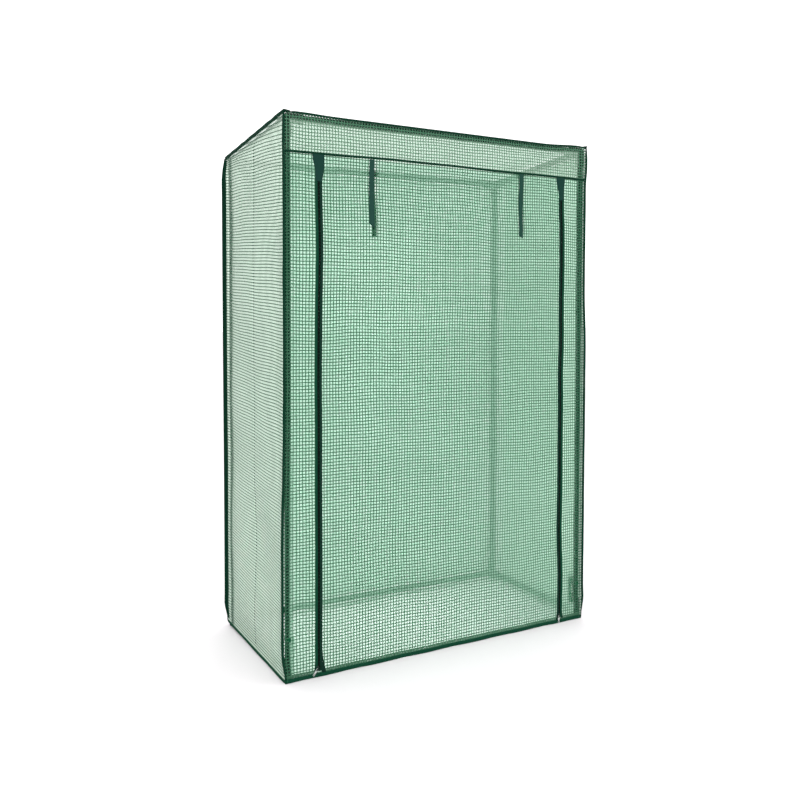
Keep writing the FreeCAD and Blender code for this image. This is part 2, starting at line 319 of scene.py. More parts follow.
innerCloth = clothPaint("innerCloth", {
    "colour": tone(18, 82, 52), "worn": tone(28, 96, 64), "grooveShade": tone(8, 54, 34),
    "rib": 1.0 * mm, "weft": 0.8 * mm})
patchCloth = clothPaint("patchCloth", {
    "colour": tone(26, 64, 55), "worn": tone(36, 76, 66), "grooveShade": tone(10, 36, 30),
    "rib": 0.8 * mm, "weft": 0.8 * mm})
edgeCloth = clothPaint("edgeCloth", {
    "colour": tone(16, 51, 40), "worn": tone(24, 61, 49), "grooveShade": tone(6, 28, 21),
    "rib": 0.8 * mm, "weft": 0.8 * mm})
chainTape = clothPaint("chainTape", {
    "colour": tone(5, 16, 12), "worn": tone(8, 22, 17), "grooveShade": tone(2, 8, 6),
    "rib": 0.8 * mm, "weft": 0.6 * mm})
chainNylon = coatPaint("chainNylon", {
    "colour": tone(3, 18, 12), "dull": tone(6, 23, 16), "scuff": tone(16, 38, 28),
    "grain": 900.0, "depth": 0.15, "rough": 0.55, "shine": 0.06})
sliderCoat = coatPaint("sliderCoat", {
    "colour": tone(10, 34, 26), "dull": tone(16, 42, 33), "scuff": tone(70, 86, 78),
    "grain": 700.0, "depth": 0.12, "rough": 0.40, "shine": 0.2})
seamThread = clothPaint("seamThread", {
    "colour": tone(20, 74, 52), "worn": tone(30, 88, 62), "grooveShade": tone(8, 44, 30),
    "rib": 0.5 * mm, "weft": 0.5 * mm})
tubeCoat = coatPaint("tubeCoat", {
    "colour": tone(4, 40, 26), "dull": tone(7, 48, 32), "scuff": tone(20, 76, 54),
    "grain": 420.0, "depth": 0.10, "rough": 0.34, "shine": 0.08})
connectorPlastic = coatPaint("connectorPlastic", {
    "colour": tone(4, 34, 22), "dull": tone(7, 42, 28), "scuff": tone(18, 62, 44),
    "grain": 1400.0, "depth": 0.22, "rough": 0.46, "shine": 0.1})
zincPlate = metalPaint("zincPlate", {"colour": tone(214, 218, 216), "dark": tone(180, 186, 183)})
print("materials made:", len(bpy.data.materials))


def carried(center, across, up, ring, loop=False, slot=0, along=None):
    # closed strip: the ring's (a, b) pairs stand at every station as center + a * across + b * up
    # center is (strips, stations, 3) or (stations, 3); open ends are capped by joining the ring's two rows
    center = np.asarray(center, float)
    center = center if center.ndim == 3 else center[None]
    across = np.broadcast_to(np.asarray(across, float), center.shape)
    up = np.broadcast_to(np.asarray(up, float), center.shape)
    ring = np.asarray(ring, float)
    a, b = ring[..., 0, None], ring[..., 1, None]
    points = center[:, :, None] + a * across[:, :, None] + b * up[:, :, None]
    strips, rows, around = points.shape[:3]
    near = np.arange(rows if loop else rows - 1)[:, None]
    far = (near + 1) % rows
    side = np.arange(around)[None, :]
    nextSide = (side + 1) % around
    quads = np.stack([near * around + side, near * around + nextSide, far * around + nextSide,
                      far * around + side], -1).reshape(-1, 4)
    if along is None:
        step = np.linalg.norm(np.diff(center, axis=1), axis=-1)
        along = np.concatenate([np.zeros((strips, 1)), np.cumsum(step, 1)], 1)
    along = np.broadcast_to(along, (strips, rows))
    last = along[:, -1:] + (along[:, -1:] - along[:, -2:-1])
    onward = np.concatenate([along, last], 1)
    wide = np.broadcast_to(np.linalg.norm(across, axis=-1)[:, :, None] * ring[..., 0], (strips, rows, around))
    uv = np.empty((strips, near.size, around, 4, 2))
    nearRows, farRows = near[:, 0], far[:, 0]
    uv[..., 0, 0] = wide[:, nearRows]
    uv[..., 1, 0] = np.roll(wide, -1, 2)[:, nearRows]
    uv[..., 2, 0] = np.roll(wide, -1, 2)[:, farRows]
    uv[..., 3, 0] = wide[:, farRows]
    uv[..., 0, 1] = uv[..., 1, 1] = onward[:, nearRows, None]
    uv[..., 2, 1] = uv[..., 3, 1] = onward[:, nearRows + 1, None]
    uv = uv.reshape(strips, -1, 4, 2)
    if not loop:
        k = np.arange(around // 2 - 1)
        cap = np.stack([k, around - 1 - k, around - 2 - k, k + 1], 1)
        endCap = cap[:, ::-1] + (rows - 1) * around
        capUv = [np.stack([wide[:, row][:, faces % around],
                           np.broadcast_to(onward[:, row, None, None], (strips, *faces.shape))], -1)
                 for row, faces in ((0, cap), (rows - 1, endCap))]
        quads = np.concatenate([quads, cap, endCap])
        uv = np.concatenate([uv, *capUv], 1)
    first = points[0].reshape(-1, 3)
    p, q, r, s = np.moveaxis((first - first.mean(0))[quads], 1, 0)
    volume = (np.cross(p, q) * r).sum() + (np.cross(p, r) * s).sum()
    if volume < 0:          # turned inside out, so every face is wound the other way
        quads, uv = quads[:, ::-1], uv[:, :, ::-1]
    offset = (np.arange(strips) * rows * around)[:, None, None]
    slots = np.full(len(quads), np.ravel(slot)[0])
    # a slot for each side of the ring
    slots[:near.size * around] = np.broadcast_to(slot, (near.size, around)).ravel()
    return {"points": points.reshape(-1, 3), "quads": (quads[None] + offset).reshape(-1, 4),
            "uv": uv.reshape(-1, 4, 2), "slot": np.tile(slots, strips)}


def openSheet(points, uv, slot=0):
    # sheet over a grid of stations: rows run up, columns run across, faces look out of the wall
    rows, cols = points.shape[:2]
    i, j = np.meshgrid(np.arange(rows - 1), np.arange(cols - 1), indexing="ij")
    first = i * cols + j
    quads = np.stack([first, first + 1, first + cols + 1, first + cols], -1).reshape(-1, 4)
    return {"points": points.reshape(-1, 3), "quads": quads, "uv": uv.reshape(-1, 2)[quads], "slot": slot}


def blocks(center, along, across, up, slot=0):
    # small six-sided blocks: each corner is center plus or minus its three half axes
    center = np.asarray(center, float).reshape(-1, 3)
    along, across, up = (np.broadcast_to(np.asarray(axis, float), center.shape)[:, None]
                         for axis in (along, across, up))
    path = center[:, None] + along * np.array([[-1.0], [1.0]])
    return carried(path, across, up, [(-1, 1), (1, 1), (1, -1), (-1, -1)], slot=slot)


def makePiece(name, parts, materials, attributes=None, smooth=True):
    # one mesh of all the parts' quads, with its own map and a material slot for each face
    start = np.cumsum([0] + [len(p["points"]) for p in parts])
    points = np.concatenate([p["points"] for p in parts])
    quads = np.concatenate([p["quads"] + s for p, s in zip(parts, start)])
    mesh = bpy.data.meshes.new(name)
    mesh.vertices.add(len(points))
    mesh.vertices.foreach_set("co", points.astype(np.float32).ravel())
    mesh.loops.add(quads.size)
    mesh.loops.foreach_set("vertex_index", quads.astype(np.int32).ravel())
    mesh.polygons.add(len(quads))
    mesh.polygons.foreach_set("loop_start", np.arange(0, quads.size, 4, dtype=np.int32))
    slots = [np.broadcast_to(p["slot"], len(p["quads"])) for p in parts]
    mesh.polygons.foreach_set("material_index", np.concatenate(slots).astype(np.int32))
    mesh.polygons.foreach_set("use_smooth", np.full(len(quads), smooth))
    mesh.update(calc_edges=True)
    uvMap = mesh.uv_layers.new(name="cloth")
    uvMap.data.foreach_set("uv", np.concatenate([p["uv"] for p in parts]).astype(np.float32).ravel())
    for key, values in (attributes or {}).items():
        stored = mesh.attributes.new(key, "FLOAT", "POINT")
        stored.data.foreach_set("value", values.astype(np.float32).ravel())
    for material in materials:
        mesh.materials.append(material)
    piece = bpy.data.objects.new(name, mesh)
    bpy.context.scene.collection.objects.link(piece)
    return piece


def ridingPiece(name, parts, materials, slot, *nodes, body="greenhouse"):
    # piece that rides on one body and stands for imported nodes
    piece = makePiece(name, parts, materials)
    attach(piece, body)
    if nodes:
        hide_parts(*nodes)


def ease(share):
    # 0 below 0, 1 above 1, smooth between
    share = np.clip(share, 0, 1)
    return share * share * (3 - 2 * share)


def ripples(u, v, seed, count, shortest, longest):
    # sum of plane sine waves; their directions, lengths and starts come from a seeded draw
    draw = np.random.default_rng(seed)
    reaches = (0, math.pi), (shortest, longest), (0, 2 * math.pi)
    angle, length, start = [draw.uniform(low, high, count) for low, high in reaches]
    phase = (u[..., None] * np.cos(angle) + v[..., None] * np.sin(angle)) * (2 * math.pi / length) + start
    return np.sin(phase).sum(-1) / math.sqrt(count)


def wave(place, length, start=0.0):
    # sine of a wave length, from a start in radians
    return np.sin(place * 2 * math.pi / length + start)


def bell(offset, wide):
    # 1 in the middle, falling off on both sides as exp of minus the square
    return np.exp(-(offset / wide) ** 2)


def squarish(curve, power):
    # a sine or cosine with its sign kept and its size raised to a power, which squares a circle
    return np.sign(curve) * np.abs(curve) ** power


def unit(arrows):
    # each row divided by its length
    return arrows / np.linalg.norm(arrows, axis=1, keepdims=True)


def oval(wide, high, count):
    # ring of an ellipse by its two half axes
    return [(wide * math.cos(a), high * math.sin(a)) for a in np.linspace(math.pi, -math.pi, count + 1)[:-1]]


def evenly(low, high, step):
    # whole multiples of a step between two heights
    return np.arange(math.ceil(low / step), math.ceil(high / step)) * step


def runOf(path):
    # distance walked along a path at each of its points
    return np.concatenate([[0], np.cumsum(np.linalg.norm(np.diff(path, axis=0), axis=1))])


def alongRun(at, run, rows):
    # rows of numbers read in between, at distances along their run
    return np.stack([np.interp(at, run, column) for column in rows.T], 1)


zipU = 405 * mm       # middle of each zip
creaseU = 4 * mm      # fold line up each side wall

# Slack of the film: its heights, places and wave lengths
frontHang = {"swell": 0.8 * mm, "swellLengths": (0.20, 0.45), "sideways": 1.1 * mm,
             "droop": 1.9 * mm, "droopLengths": (0.13, 0.42),
             "zipPucker": 0.5 * mm, "zipPuckerAt": 19 * mm, "zipPuckerWide": 13 * mm,
             "hemPucker": 0.7 * mm, "hemPuckerAt": 45 * mm, "hemPuckerWide": 25 * mm,
             "sewnSide": 50 * mm, "sewnFoot": 50 * mm, "sewnHead": 40 * mm, "header": 30 * mm,
             "sliderStops": 1.21, "flatWide": 30 * mm, "flatBy": 70 * mm}
wallHang = {"swell": 2.2 * mm, "swellLengths": (0.28, 0.70), "sideways": 1.4 * mm,
            "sidewaysLengths": (0.25, 0.60), "droop": 1.8 * mm, "droopLengths": (0.20, 0.55),
            "crease": 1.0 * mm, "creaseWide": 7 * mm, "creaseEnds": 50 * mm,
            "rearLift": 7 * mm, "liftFades": 90 * mm,
            "tilt": 28 * mm, "tiltFoot": 250 * mm, "tiltHead": 60 * mm,
            "sewnSide": 70 * mm, "hem": 20 * mm, "sewnFoot": 80 * mm, "sewnHead": 90 * mm}
# Bows of the two zips as (size, height, reach)
zipBend = {"left": (3.3 * mm, 1.15, 0.13), "rightHead": (4.2 * mm, 1.22, 0.09),
           "rightFoot": (4.8 * mm, 0.12, 0.20), "rightDip": (2.4 * mm, 0.80, 0.06)}
roofHang = {"sag": 7.0 * mm, "swell": 1.2 * mm, "swellLengths": (0.22, 0.50),
            "hem": 20 * mm, "sewn": 120 * mm}
tubePull = {"depth": 2.7 * mm, "socket": 60 * mm, "release": 55 * mm, "lies": 34 * mm, "leaves": 36 * mm,
            "sooner": 20 * mm}      # the pull along the film ends this much nearer to the tube
frontEdgeDrop = {"middle": 3.6 * mm, "tilt": 2.2 * mm, "start": 25 * mm, "over": 150 * mm}

# How far each upright seam stands out sideways below and above a stretch of its height
seamStand = {
    "frontLeft": {"low": 5.0 * mm, "high": -1.5 * mm, "from": 0.30, "to": 0.80, "socket": 58 * mm},
    "frontRight": {"low": 3.6 * mm, "high": -2.6 * mm, "from": 0.86, "to": 1.06, "socket": 58 * mm},
    "rearLeft": {"low": 3.6 * mm, "high": 5.6 * mm, "from": 0.30, "to": 1.20, "socket": 0.0},
    "rearRight": {"low": 4.2 * mm, "high": 4.8 * mm, "from": 0.30, "to": 1.20, "socket": 0.0},
}
seamReach = {"across": 45 * mm, "hem": 12 * mm, "foot": 60 * mm, "head": 80 * mm}


def drawnIn(place, low, high):
    # how far an edge is drawn in to its tube: nothing over the sockets at both ends, full between them
    clearOf = np.minimum(place - low, high - place) - tubePull["socket"]
    return tubePull["depth"] * ease(clearOf / tubePull["release"])


def byTube(toEdge):
    # 1 where the film lies against the tube, 0 further in
    return 1 - ease((toEdge - tubePull["lies"]) / tubePull["leaves"])


def frontDrop(u):
    # the roof's front edge is pulled down on its rail, more to the right, and stays up at both corners
    free = ease((edgeX - abs(u) - frontEdgeDrop["start"]) / frontEdgeDrop["over"])
    return (frontEdgeDrop["middle"] + frontEdgeDrop["tilt"] * u / edgeX) * free


def standing(corner, v, top):
    # sideways stand of an upright seam, eased to nothing at its foot and head
    look = seamStand[corner]
    share = ease((v - look["from"]) / (look["to"] - look["from"]))
    foot = ease((v - seamReach["hem"]) / seamReach["foot"])
    head = ease((top - look["socket"] - v) / seamReach["head"])
    return (look["low"] + (look["high"] - look["low"]) * share) * foot * head


def seamShifts(wall, u, v):
    # the film stands out to its upright seams and is drawn in to the tubes:
    # shifts along u, along v and outwards
    low, high = spanOf(wall)
    top = topOf(wall, u)
    side, rail = drawnIn(v, 0.0, top), drawnIn(u, low, high)
    atLow, atHigh = (standing(corner, v, top) * (1 - ease(gap / seamReach["across"]))
                     for corner, gap in zip(walls[wall]["corners"], (u - low, high - u)))
    toSide, toTop = np.minimum(u - low, high - u), top - v
    if wall in ("left", "right"):
        inward = -np.sign(u - (low + high) / 2)
        return inward * side * byTube(toSide + tubePull["sooner"]), 0 * v, atLow + atHigh
    drop = frontDrop(u) if wall == "front" else rail
    out = -side * byTube(toSide) - rail * byTube(toTop)
    return atHigh - atLow, -drop * byTube(toTop + tubePull["sooner"]), out


def zipBow(u, v):
    # sideways bow of the two zips; the film between and beside them goes along
    size, height, reach = zipBend["left"]
    left = size * bell(v - height, reach)
    size, height, reach = zipBend["rightDip"]
    right = -size * bell(v - height, reach)
    for key in ("rightHead", "rightFoot"):
        size, height, reach = zipBend[key]
        right = right + size * (1 - ease((v - height) / reach))
    outside = ease((edgeX - abs(u)) / (edgeX - zipU))
    share = np.clip((u + zipU) / (2 * zipU), 0, 1)
    return (left + (right - left) * share) * outside * ease((headerZ - v) / 0.05)


def frontSlack(u, v):
    # quiet at every sewn line, short puckers beside the zips and over the hem, long waves between
    sewn = ease((edgeX - abs(u)) / frontHang["sewnSide"]) * ease(v / frontHang["sewnFoot"])
    sewn = sewn * ease((roofTop - v) / frontHang["sewnHead"])
    offHeader = ease(abs(v - headerZ) / frontHang["header"])
    fromZip = abs(u) - zipU
    besideZip = bell(abs(fromZip) - frontHang["zipPuckerAt"], frontHang["zipPuckerWide"])
    stopped = ease((v - frontHang["sliderStops"]) / frontHang["flatBy"])
    loose = 1 - bell(fromZip, frontHang["flatWide"]) * stopped      # flat where the slider stops
    swell = frontHang["swell"] * ripples(u, v, 3, 6, *frontHang["swellLengths"]) * sewn
    zipPucker = frontHang["zipPucker"] * besideZip * wave(v, 0.055, 3 * np.sin(9 * v))
    overHem = bell(v - frontHang["hemPuckerAt"], frontHang["hemPuckerWide"])
    hemPucker = frontHang["hemPucker"] * overHem * wave(u, 0.09, 2 * np.sin(8 * u)) * sewn
    sway = frontHang["sideways"] * (wave(v, 0.52, 0.6) + 0.45 * wave(v, 0.21, 1.9 + 2 * u))
    sway = sway * ease((zipU - abs(u)) / 0.15) * ease((headerZ - v) / 0.08) * ease(v / 0.06)
    droop = frontHang["droop"] * ripples(u, v, 11, 6, *frontHang["droopLengths"]) * sewn
    alongU, alongV, out = seamShifts("front", u, v)
    alongU = alongU + zipBow(u, v) + sway
    alongV = alongV + droop * offHeader * ease((v - 0.02) / 0.08)
    return alongU, alongV, out + (swell + zipPucker) * offHeader * loose + hemPucker


def rearShare(y):
    # 0 at the cover's front edge, 1 at its rear edge
    return (y - frontEdgeY) / (rearEdgeY - frontEdgeY)


def footRise(y):
    # the foot of the cover rides up evenly from the front to the rear
    return wallHang["rearLift"] * rearShare(y)


def wallSlack(wall, seed, creased):
    # long loose waves; a side wall also has the fold line that the cover was packed on,
    # and a grid tilted up to the rear
    def slack(u, v):
        low, high = spanOf(wall)
        top = topOf(wall, u)
        sewn = ease(np.minimum(u - low, high - u) / wallHang["sewnSide"])
        sewn = sewn * ease((v - wallHang["hem"]) / wallHang["sewnFoot"])
        sewn = sewn * ease((top - v) / wallHang["sewnHead"])
        y = rearEdgeY if wall == "rear" else u * walls[wall]["u"][1]
        alongU, alongV, out = seamShifts(wall, u, v)
        swell, sideways, droop = [
            wallHang[key] * ripples(u, v, seed + k, count, *wallHang[key + "Lengths"]) * sewn
            for k, (key, count) in enumerate((("swell", 6), ("sideways", 4), ("droop", 5)))]
        alongU, out = alongU + sideways, out + swell
        alongV = alongV + droop + footRise(y) * (1 - ease(v / wallHang["liftFades"]))
        if creased:
            fold = bell(u - creaseU, wallHang["creaseWide"])
            ends = ease(v / wallHang["creaseEnds"]) * ease((top - v) / wallHang["creaseEnds"])
            out = out - wallHang["crease"] * fold * ends
            tilt = wallHang["tilt"] * (rearShare(y) - 0.5)
            alongV = alongV + tilt * ease(v / wallHang["tiltFoot"]) * ease((top - v) / wallHang["tiltHead"])
        return alongU, alongV, out
    return slack


def roofSlack(u, v):
    # sags between the four rails, with slow waves across, and is drawn down to its front and rear rails
    gaps = edgeX - abs(u), v, roofLength - v
    sewn = np.prod([ease((gap - roofHang["hem"]) / roofHang["sewn"]) for gap in gaps], axis=0)
    ends = drawnIn(u, -edgeX, edgeX)
    out = (roofHang["swell"] * ripples(u, v, 41, 5, *roofHang["swellLengths"]) - roofHang["sag"]) * sewn
    out = out - frontDrop(u) * byTube(v) - ends * byTube(roofLength - v)
    alongV = np.sign(roofLength / 2 - v) * ends * byTube(np.minimum(v, roofLength - v) + tubePull["sooner"])
    return 0 * u, alongV, out


walls = {
    "front": {"origin": (0, frontY, 0), "u": (1, 0, 0), "v": (0, 0, 1), "slack": frontSlack,
              "corners": ("frontLeft", "frontRight"), "tubes": ("left", "right", "head")},
    "rear": {"origin": (0, rearY, 0), "u": (-1, 0, 0), "v": (0, 0, 1), "slack": wallSlack("rear", 21, False),
             "corners": ("rearRight", "rearLeft"), "tubes": ("left", "right", "head", "foot")},
    "left": {"origin": (-sideX, 0, 0), "u": (0, -1, 0), "v": (0, 0, 1), "slack": wallSlack("left", 27, True),
             "corners": ("rearLeft", "frontLeft"), "tubes": ("head",)},
    "right": {"origin": (sideX, 0, 0), "u": (0, 1, 0), "v": (0, 0, 1), "slack": wallSlack("right", 33, True),
              "corners": ("frontRight", "rearRight"), "tubes": ("head",)},
    "roof": {"origin": (0, frontEdgeY, roofHeight(frontEdgeY)), "u": (1, 0, 0),
             "v": (0, math.cos(roofAngle), -math.sin(roofAngle)), "slack": roofSlack,
             "tubes": ("left", "right", "head", "foot")},
}


def outOf(wall):
    # outward direction of a wall: its two own directions crossed
    return np.cross(walls[wall]["u"], walls[wall]["v"])


def onWall(wall, u, v, lift=0.0):
    # plane point, shifted in the plane and off it by the wall's slack, then lifted outwards
    u, v = np.broadcast_arrays(np.asarray(u, float), np.asarray(v, float))
    alongU, alongV, out = walls[wall]["slack"](u, v)
    flat = np.array(walls[wall]["origin"]) + (u + alongU)[..., None] * np.array(walls[wall]["u"])
    return flat + (v + alongV)[..., None] * np.array(walls[wall]["v"]) + (out + lift)[..., None] * outOf(wall)


def topOf(wall, u):
    # the upper edge of the film on a wall, under the roof
    u = np.asarray(u, float)
    if wall == "roof":
        return np.full_like(u, roofLength)
    y = {"front": frontY, "rear": rearY}.get(wall)
    return roofHeight(np.full_like(u, y) if y is not None else u * walls[wall]["u"][1]) - filmThick / 2


def spanOf(wall):
    # the reach of a wall from side to side
    return {"left": (-rearEdgeY, -frontEdgeY), "right": (frontEdgeY, rearEdgeY)}.get(wall, (-edgeX, edgeX))


# Where the film turns clear: near the tubes; over inner ribbons and post loops on the front, as (middle,
# half width, lower end, upper end, most); and before the rear posts, as (most, start, rise, end, fall)
clearLook = {
    "left": 14 * mm, "right": 28 * mm, "head": 16 * mm, "foot": 24 * mm, "leaves": 5 * mm, "sideHead": 0.70,
    "touched": [(-243 * mm, 9 * mm, 1176 * mm, 1404 * mm, 0.95),
                (252 * mm, 8 * mm, 1215 * mm, 1404 * mm, 0.9),
                (461 * mm, 12 * mm, 52 * mm, 144 * mm, 0.75)], "touchFades": 8 * mm,
    "rearPost": {"left": (1.0, 26 * mm, 10 * mm, 42 * mm, 26 * mm),
                 "right": (0.56, -1 * mm, 1 * mm, 56 * mm, 12 * mm)},
}


def clearShare(wall, u, v):
    # 1 where the film lies on a tube, 0 in the open; the film turns clear there, and the yarn darkens there
    # as painted shade
    low, high = spanOf(wall)
    gaps = {"left": u - low, "right": high - u, "head": topOf(wall, u) - v, "foot": v}
    clear = np.maximum.reduce([1 - ease((gaps[key] - clearLook[key]) / clearLook["leaves"])
                               for key in walls[wall]["tubes"]])
    if wall == "front":
        fades = clearLook["touchFades"]
        for middle, halfWide, low, high, most in clearLook["touched"]:
            across = 1 - ease((abs(u - middle) - halfWide) / fades)
            clear = np.maximum(clear, most * across * ease((v - low) / fades) * ease((high - v) / fades))
    if wall in ("left", "right"):
        most, start, rise, end, fall = clearLook["rearPost"][wall]
        rearGap = abs(u * walls[wall]["u"][1] - rearEdgeY)
        post = most * ease((rearGap - start) / rise) * (1 - ease((rearGap - end) / fall))
        clear = np.maximum(clearLook["sideHead"] * clear, post)
    return clear


filmGrid = {"cell": 8 * mm, "edgeCell": 3.5 * mm, "edge": 35 * mm,
            "threadWidth": 2.7 * mm, "threadRise": 0.42 * mm, "threadStep": 25 * mm, "closeStep": 8 * mm,
            "bend": 80 * mm, "lift": 0.06 * mm}


def stations(length, near, far, reach):
    # places along a line from 0 to 1: steps of near up to reach from both ends, steps of far between
    if length < 2.5 * reach:
        return np.linspace(0, 1, max(4, round(length / near) + 1))
    ends = np.arange(0, reach, near)
    middle = np.linspace(reach, length - reach, max(2, round((length - 2 * reach) / far) + 1))
    return np.concatenate([ends, middle, length - ends[::-1]]) / length


def acrossWall(wall, u0, u1, *spread):
    # places across a wall, close at both ends and over the fold line of a side wall
    shares = stations(u1 - u0, *spread)
    if wall not in ("left", "right"):
        return shares
    fold = (creaseU - u0 + np.arange(-20, 20.1, 2.5) * mm) / (u1 - u0)
    return np.concatenate([shares[shares < fold[0] - 0.002], fold, shares[shares > fold[-1] + 0.002]])


def filmPiece(name, wall, u0, u1, v0, v1, material, rows=None):
    # film between two heights; v1 may be the wall's own roof line
    spread = filmGrid["edgeCell"], filmGrid["cell"], filmGrid["edge"]
    u = u0 + acrossWall(wall, u0, u1, *spread) * (u1 - u0)
    high = topOf(wall, u) if v1 is None else np.full(u.size, v1)
    shares = np.linspace(0, 1, rows) if rows else stations(high.max() - v0, *spread)
    v = v0 + shares[:, None] * (high - v0)
    u = np.broadcast_to(u, v.shape)
    uv = np.stack([u, v], -1) / pitch
    return makePiece(name, [openSheet(onWall(wall, u, v), uv)], [material], {"clear": clearShare(wall, u, v)})


def threadPiece(name, wall, u0, u1, v0, v1, rows=None, outside=yarn, inside=yarnInside):
    # both sets of threads, each a flat four-sided yarn that follows the film's own surface
    half, rise = filmGrid["threadWidth"] / 2, filmGrid["threadRise"]
    margin = 0.6 * pitch
    ring = [(-half, 0), (0, rise), (half, 0), (0, -rise)]
    upU = np.arange(math.ceil((u0 + margin) / pitch), math.floor((u1 - margin) / pitch) + 1) * pitch
    high = topOf(wall, upU) if v1 is None else np.full(upU.size, v1)
    # steps are close where the film bends to the tubes
    spread = filmGrid["closeStep"], filmGrid["threadStep"], filmGrid["bend"]
    shares = np.linspace(0, 1, rows) if rows else stations(high.max() - v0, *spread)
    v = v0 + shares[None] * (high - v0)[:, None]
    top = topOf(wall, np.array([u0, u1])) if v1 is None else np.array([v1, v1])
    crossV = evenly(v0, top.max(), pitch)
    start, end = np.full(crossV.size, u0), np.full(crossV.size, u1)
    if abs(top[0] - top[1]) > 1 * mm:      # the roof falls along this wall, so upper threads stop short
        reach = u0 + (u1 - u0) * np.clip((crossV - top[0]) / (top[1] - top[0]), 0, 1)
        if top[1] > top[0]:
            start = np.where(crossV > top[0], reach, u0)
        else:
            end = np.where(crossV > top[1], reach, u1)
    keep = end - start > 2 * pitch
    crossV, start, end = crossV[keep], start[keep], end[keep]
    u = start[:, None] + acrossWall(wall, u0, u1, *spread)[None] * (end - start)[:, None]
    parts, clear = [], []
    for atU, atV, wide, along in ((upU[:, None], v, "u", v), (u, crossV[:, None], "v", u)):
        path = onWall(wall, atU, atV, filmGrid["lift"])
        parts.append(carried(path, walls[wall][wide], outOf(wall), ring, slot=(0, 0, 1, 1),
                             along=along / pitch))
        clear.append(clearShare(wall, *np.broadcast_arrays(atU, atV)).ravel())
    return makePiece(name, parts, [outside, inside], {"clear": np.repeat(np.concatenate(clear), len(ring))})


doorHalf = zipU - 0.2 * mm
stripInner = zipU + 0.2 * mm

# Fixed panels of the cover: wall, reach across, reach up, node, film, and rows of stations beside the zips
fixedFilm = {
    "roofFilm": ("roof", -edgeX, edgeX, 0.0, None, "roof_panel", roofFilm),
    "rearFilm": ("rear", -edgeX, edgeX, floorGap, None, "rear_panel", rearFilm),
    "leftFilm": ("left", -rearEdgeY, -frontEdgeY, floorGap, None, "left_panel", sideFilm),
    "rightFilm": ("right", frontEdgeY, rearEdgeY, floorGap, None, "right_panel", sideFilm),
    "headerFilm": ("front", -edgeX, edgeX, headerZ, None, "front_header", headerFilm),
    "frontLeftFilm": ("front", -edgeX, -stripInner, floorGap, headerZ, "front_left_panel", film, 160),
    "frontRightFilm": ("front", stripInner, edgeX, floorGap, headerZ, "front_right_panel",
                       rightStripFilm, 160),
}
for name, (wall, u0, u1, v0, v1, node, material, *rows) in fixedFilm.items():
    sheet = filmPiece(name, wall, u0, u1, v0, v1, material)
    outside = {sideFilm: sideYarn, headerFilm: headerYarn}.get(material, yarn)
    threads = threadPiece(name + "Threads", wall, u0, u1, v0, v1, *rows, outside=outside)
    for piece in (sheet, threads):
        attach(piece, "greenhouse")
    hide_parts(node)
    ends = topOf(wall, np.array([u0, u1])) if v1 is None else np.array([v1, v1])
    u1 - u0
    ends.max() - v0
    (u1 - u0) * (ends.mean() - v0)
print("fixed film panels:", len(fixedFilm))

# Fold line up the middle of each side wall: small dark blocks where the level threads cross it, painted shade
# where they bend over the fold
foldLook = {"bend": 0.6 * mm, "lift": 0.3 * mm, "half": (3.2 * mm, 1.6 * mm, 0.35 * mm)}
parts = []
for wall in ("left", "right"):
    v = np.arange(3, math.floor((topOf(wall, np.array([creaseU]))[0] - 20 * mm) / pitch)) * pitch
    spots = onWall(wall, creaseU + foldLook["bend"] * wave(v, 0.31), v, foldLook["lift"])
    wide, high, thick = foldLook["half"]
    parts.append(blocks(spots, np.array(walls[wall]["u"]) * wide, (0, 0, high), outOf(wall) * thick))
ridingPiece("foldShadeMarks", parts, [bindingCloth], "film")

# Zip: dark tape and teeth in the middle, a folded green band outside, seen from the zip's middle outwards
zipLook = {"tape": (0.2 * mm, 3.6 * mm), "fold": (3.0 * mm, 10.3 * mm), "low": 17 * mm, "high": 1331 * mm,
           "tooth": (-0.45 * mm, 1.7 * mm), "toothPitch": 2.0 * mm, "toothLift": 0.75 * mm,
           "toothHalf": 0.45 * mm, "toothThick": 0.4 * mm,
           "stitchRows": (4.3 * mm, 9.6 * mm), "stitchLift": 0.92 * mm}
stitchLook = {"pitch": 5 * mm, "upright": 1.5 * mm, "level": 1.6 * mm, "half": 0.24 * mm}
zipMaterials = [hemCloth, chainTape, chainNylon, seamThread, edgeCloth, yarn]
frontOut = outOf("front")


def frontStitches(spots, upright, thick, slot):
    # stitches on the front: thin blocks that stand upright or lie level
    half = stitchLook["half"]
    along, across = (stitchLook["level"], 0, 0), (0, 0, half)
    if upright:
        along, across = (0, 0, stitchLook["upright"]), (half, 0, 0)
    return blocks(spots, along, across, frontOut * thick, slot)


def crowned(count, low, edge, middle):
    # ring of a flat tape: a bowed upper row from edge to middle height, and a flat lower row
    c = np.linspace(-1, 1, count)
    upper = np.stack([c, edge + (middle - edge) * (1 - c ** 4)], 1)
    return np.concatenate([upper, np.stack([c[::-1], np.full(count, low)], 1)])


def bowedRing(c, upper, low):
    # rings whose upper row is given for each station, over a flat lower row
    flat = np.full((len(upper), 1), low)
    return np.concatenate([np.stack(np.broadcast_arrays(c, upper), -1),
                           np.stack(np.broadcast_arrays(c[::-1], flat), -1)], 1)[None]


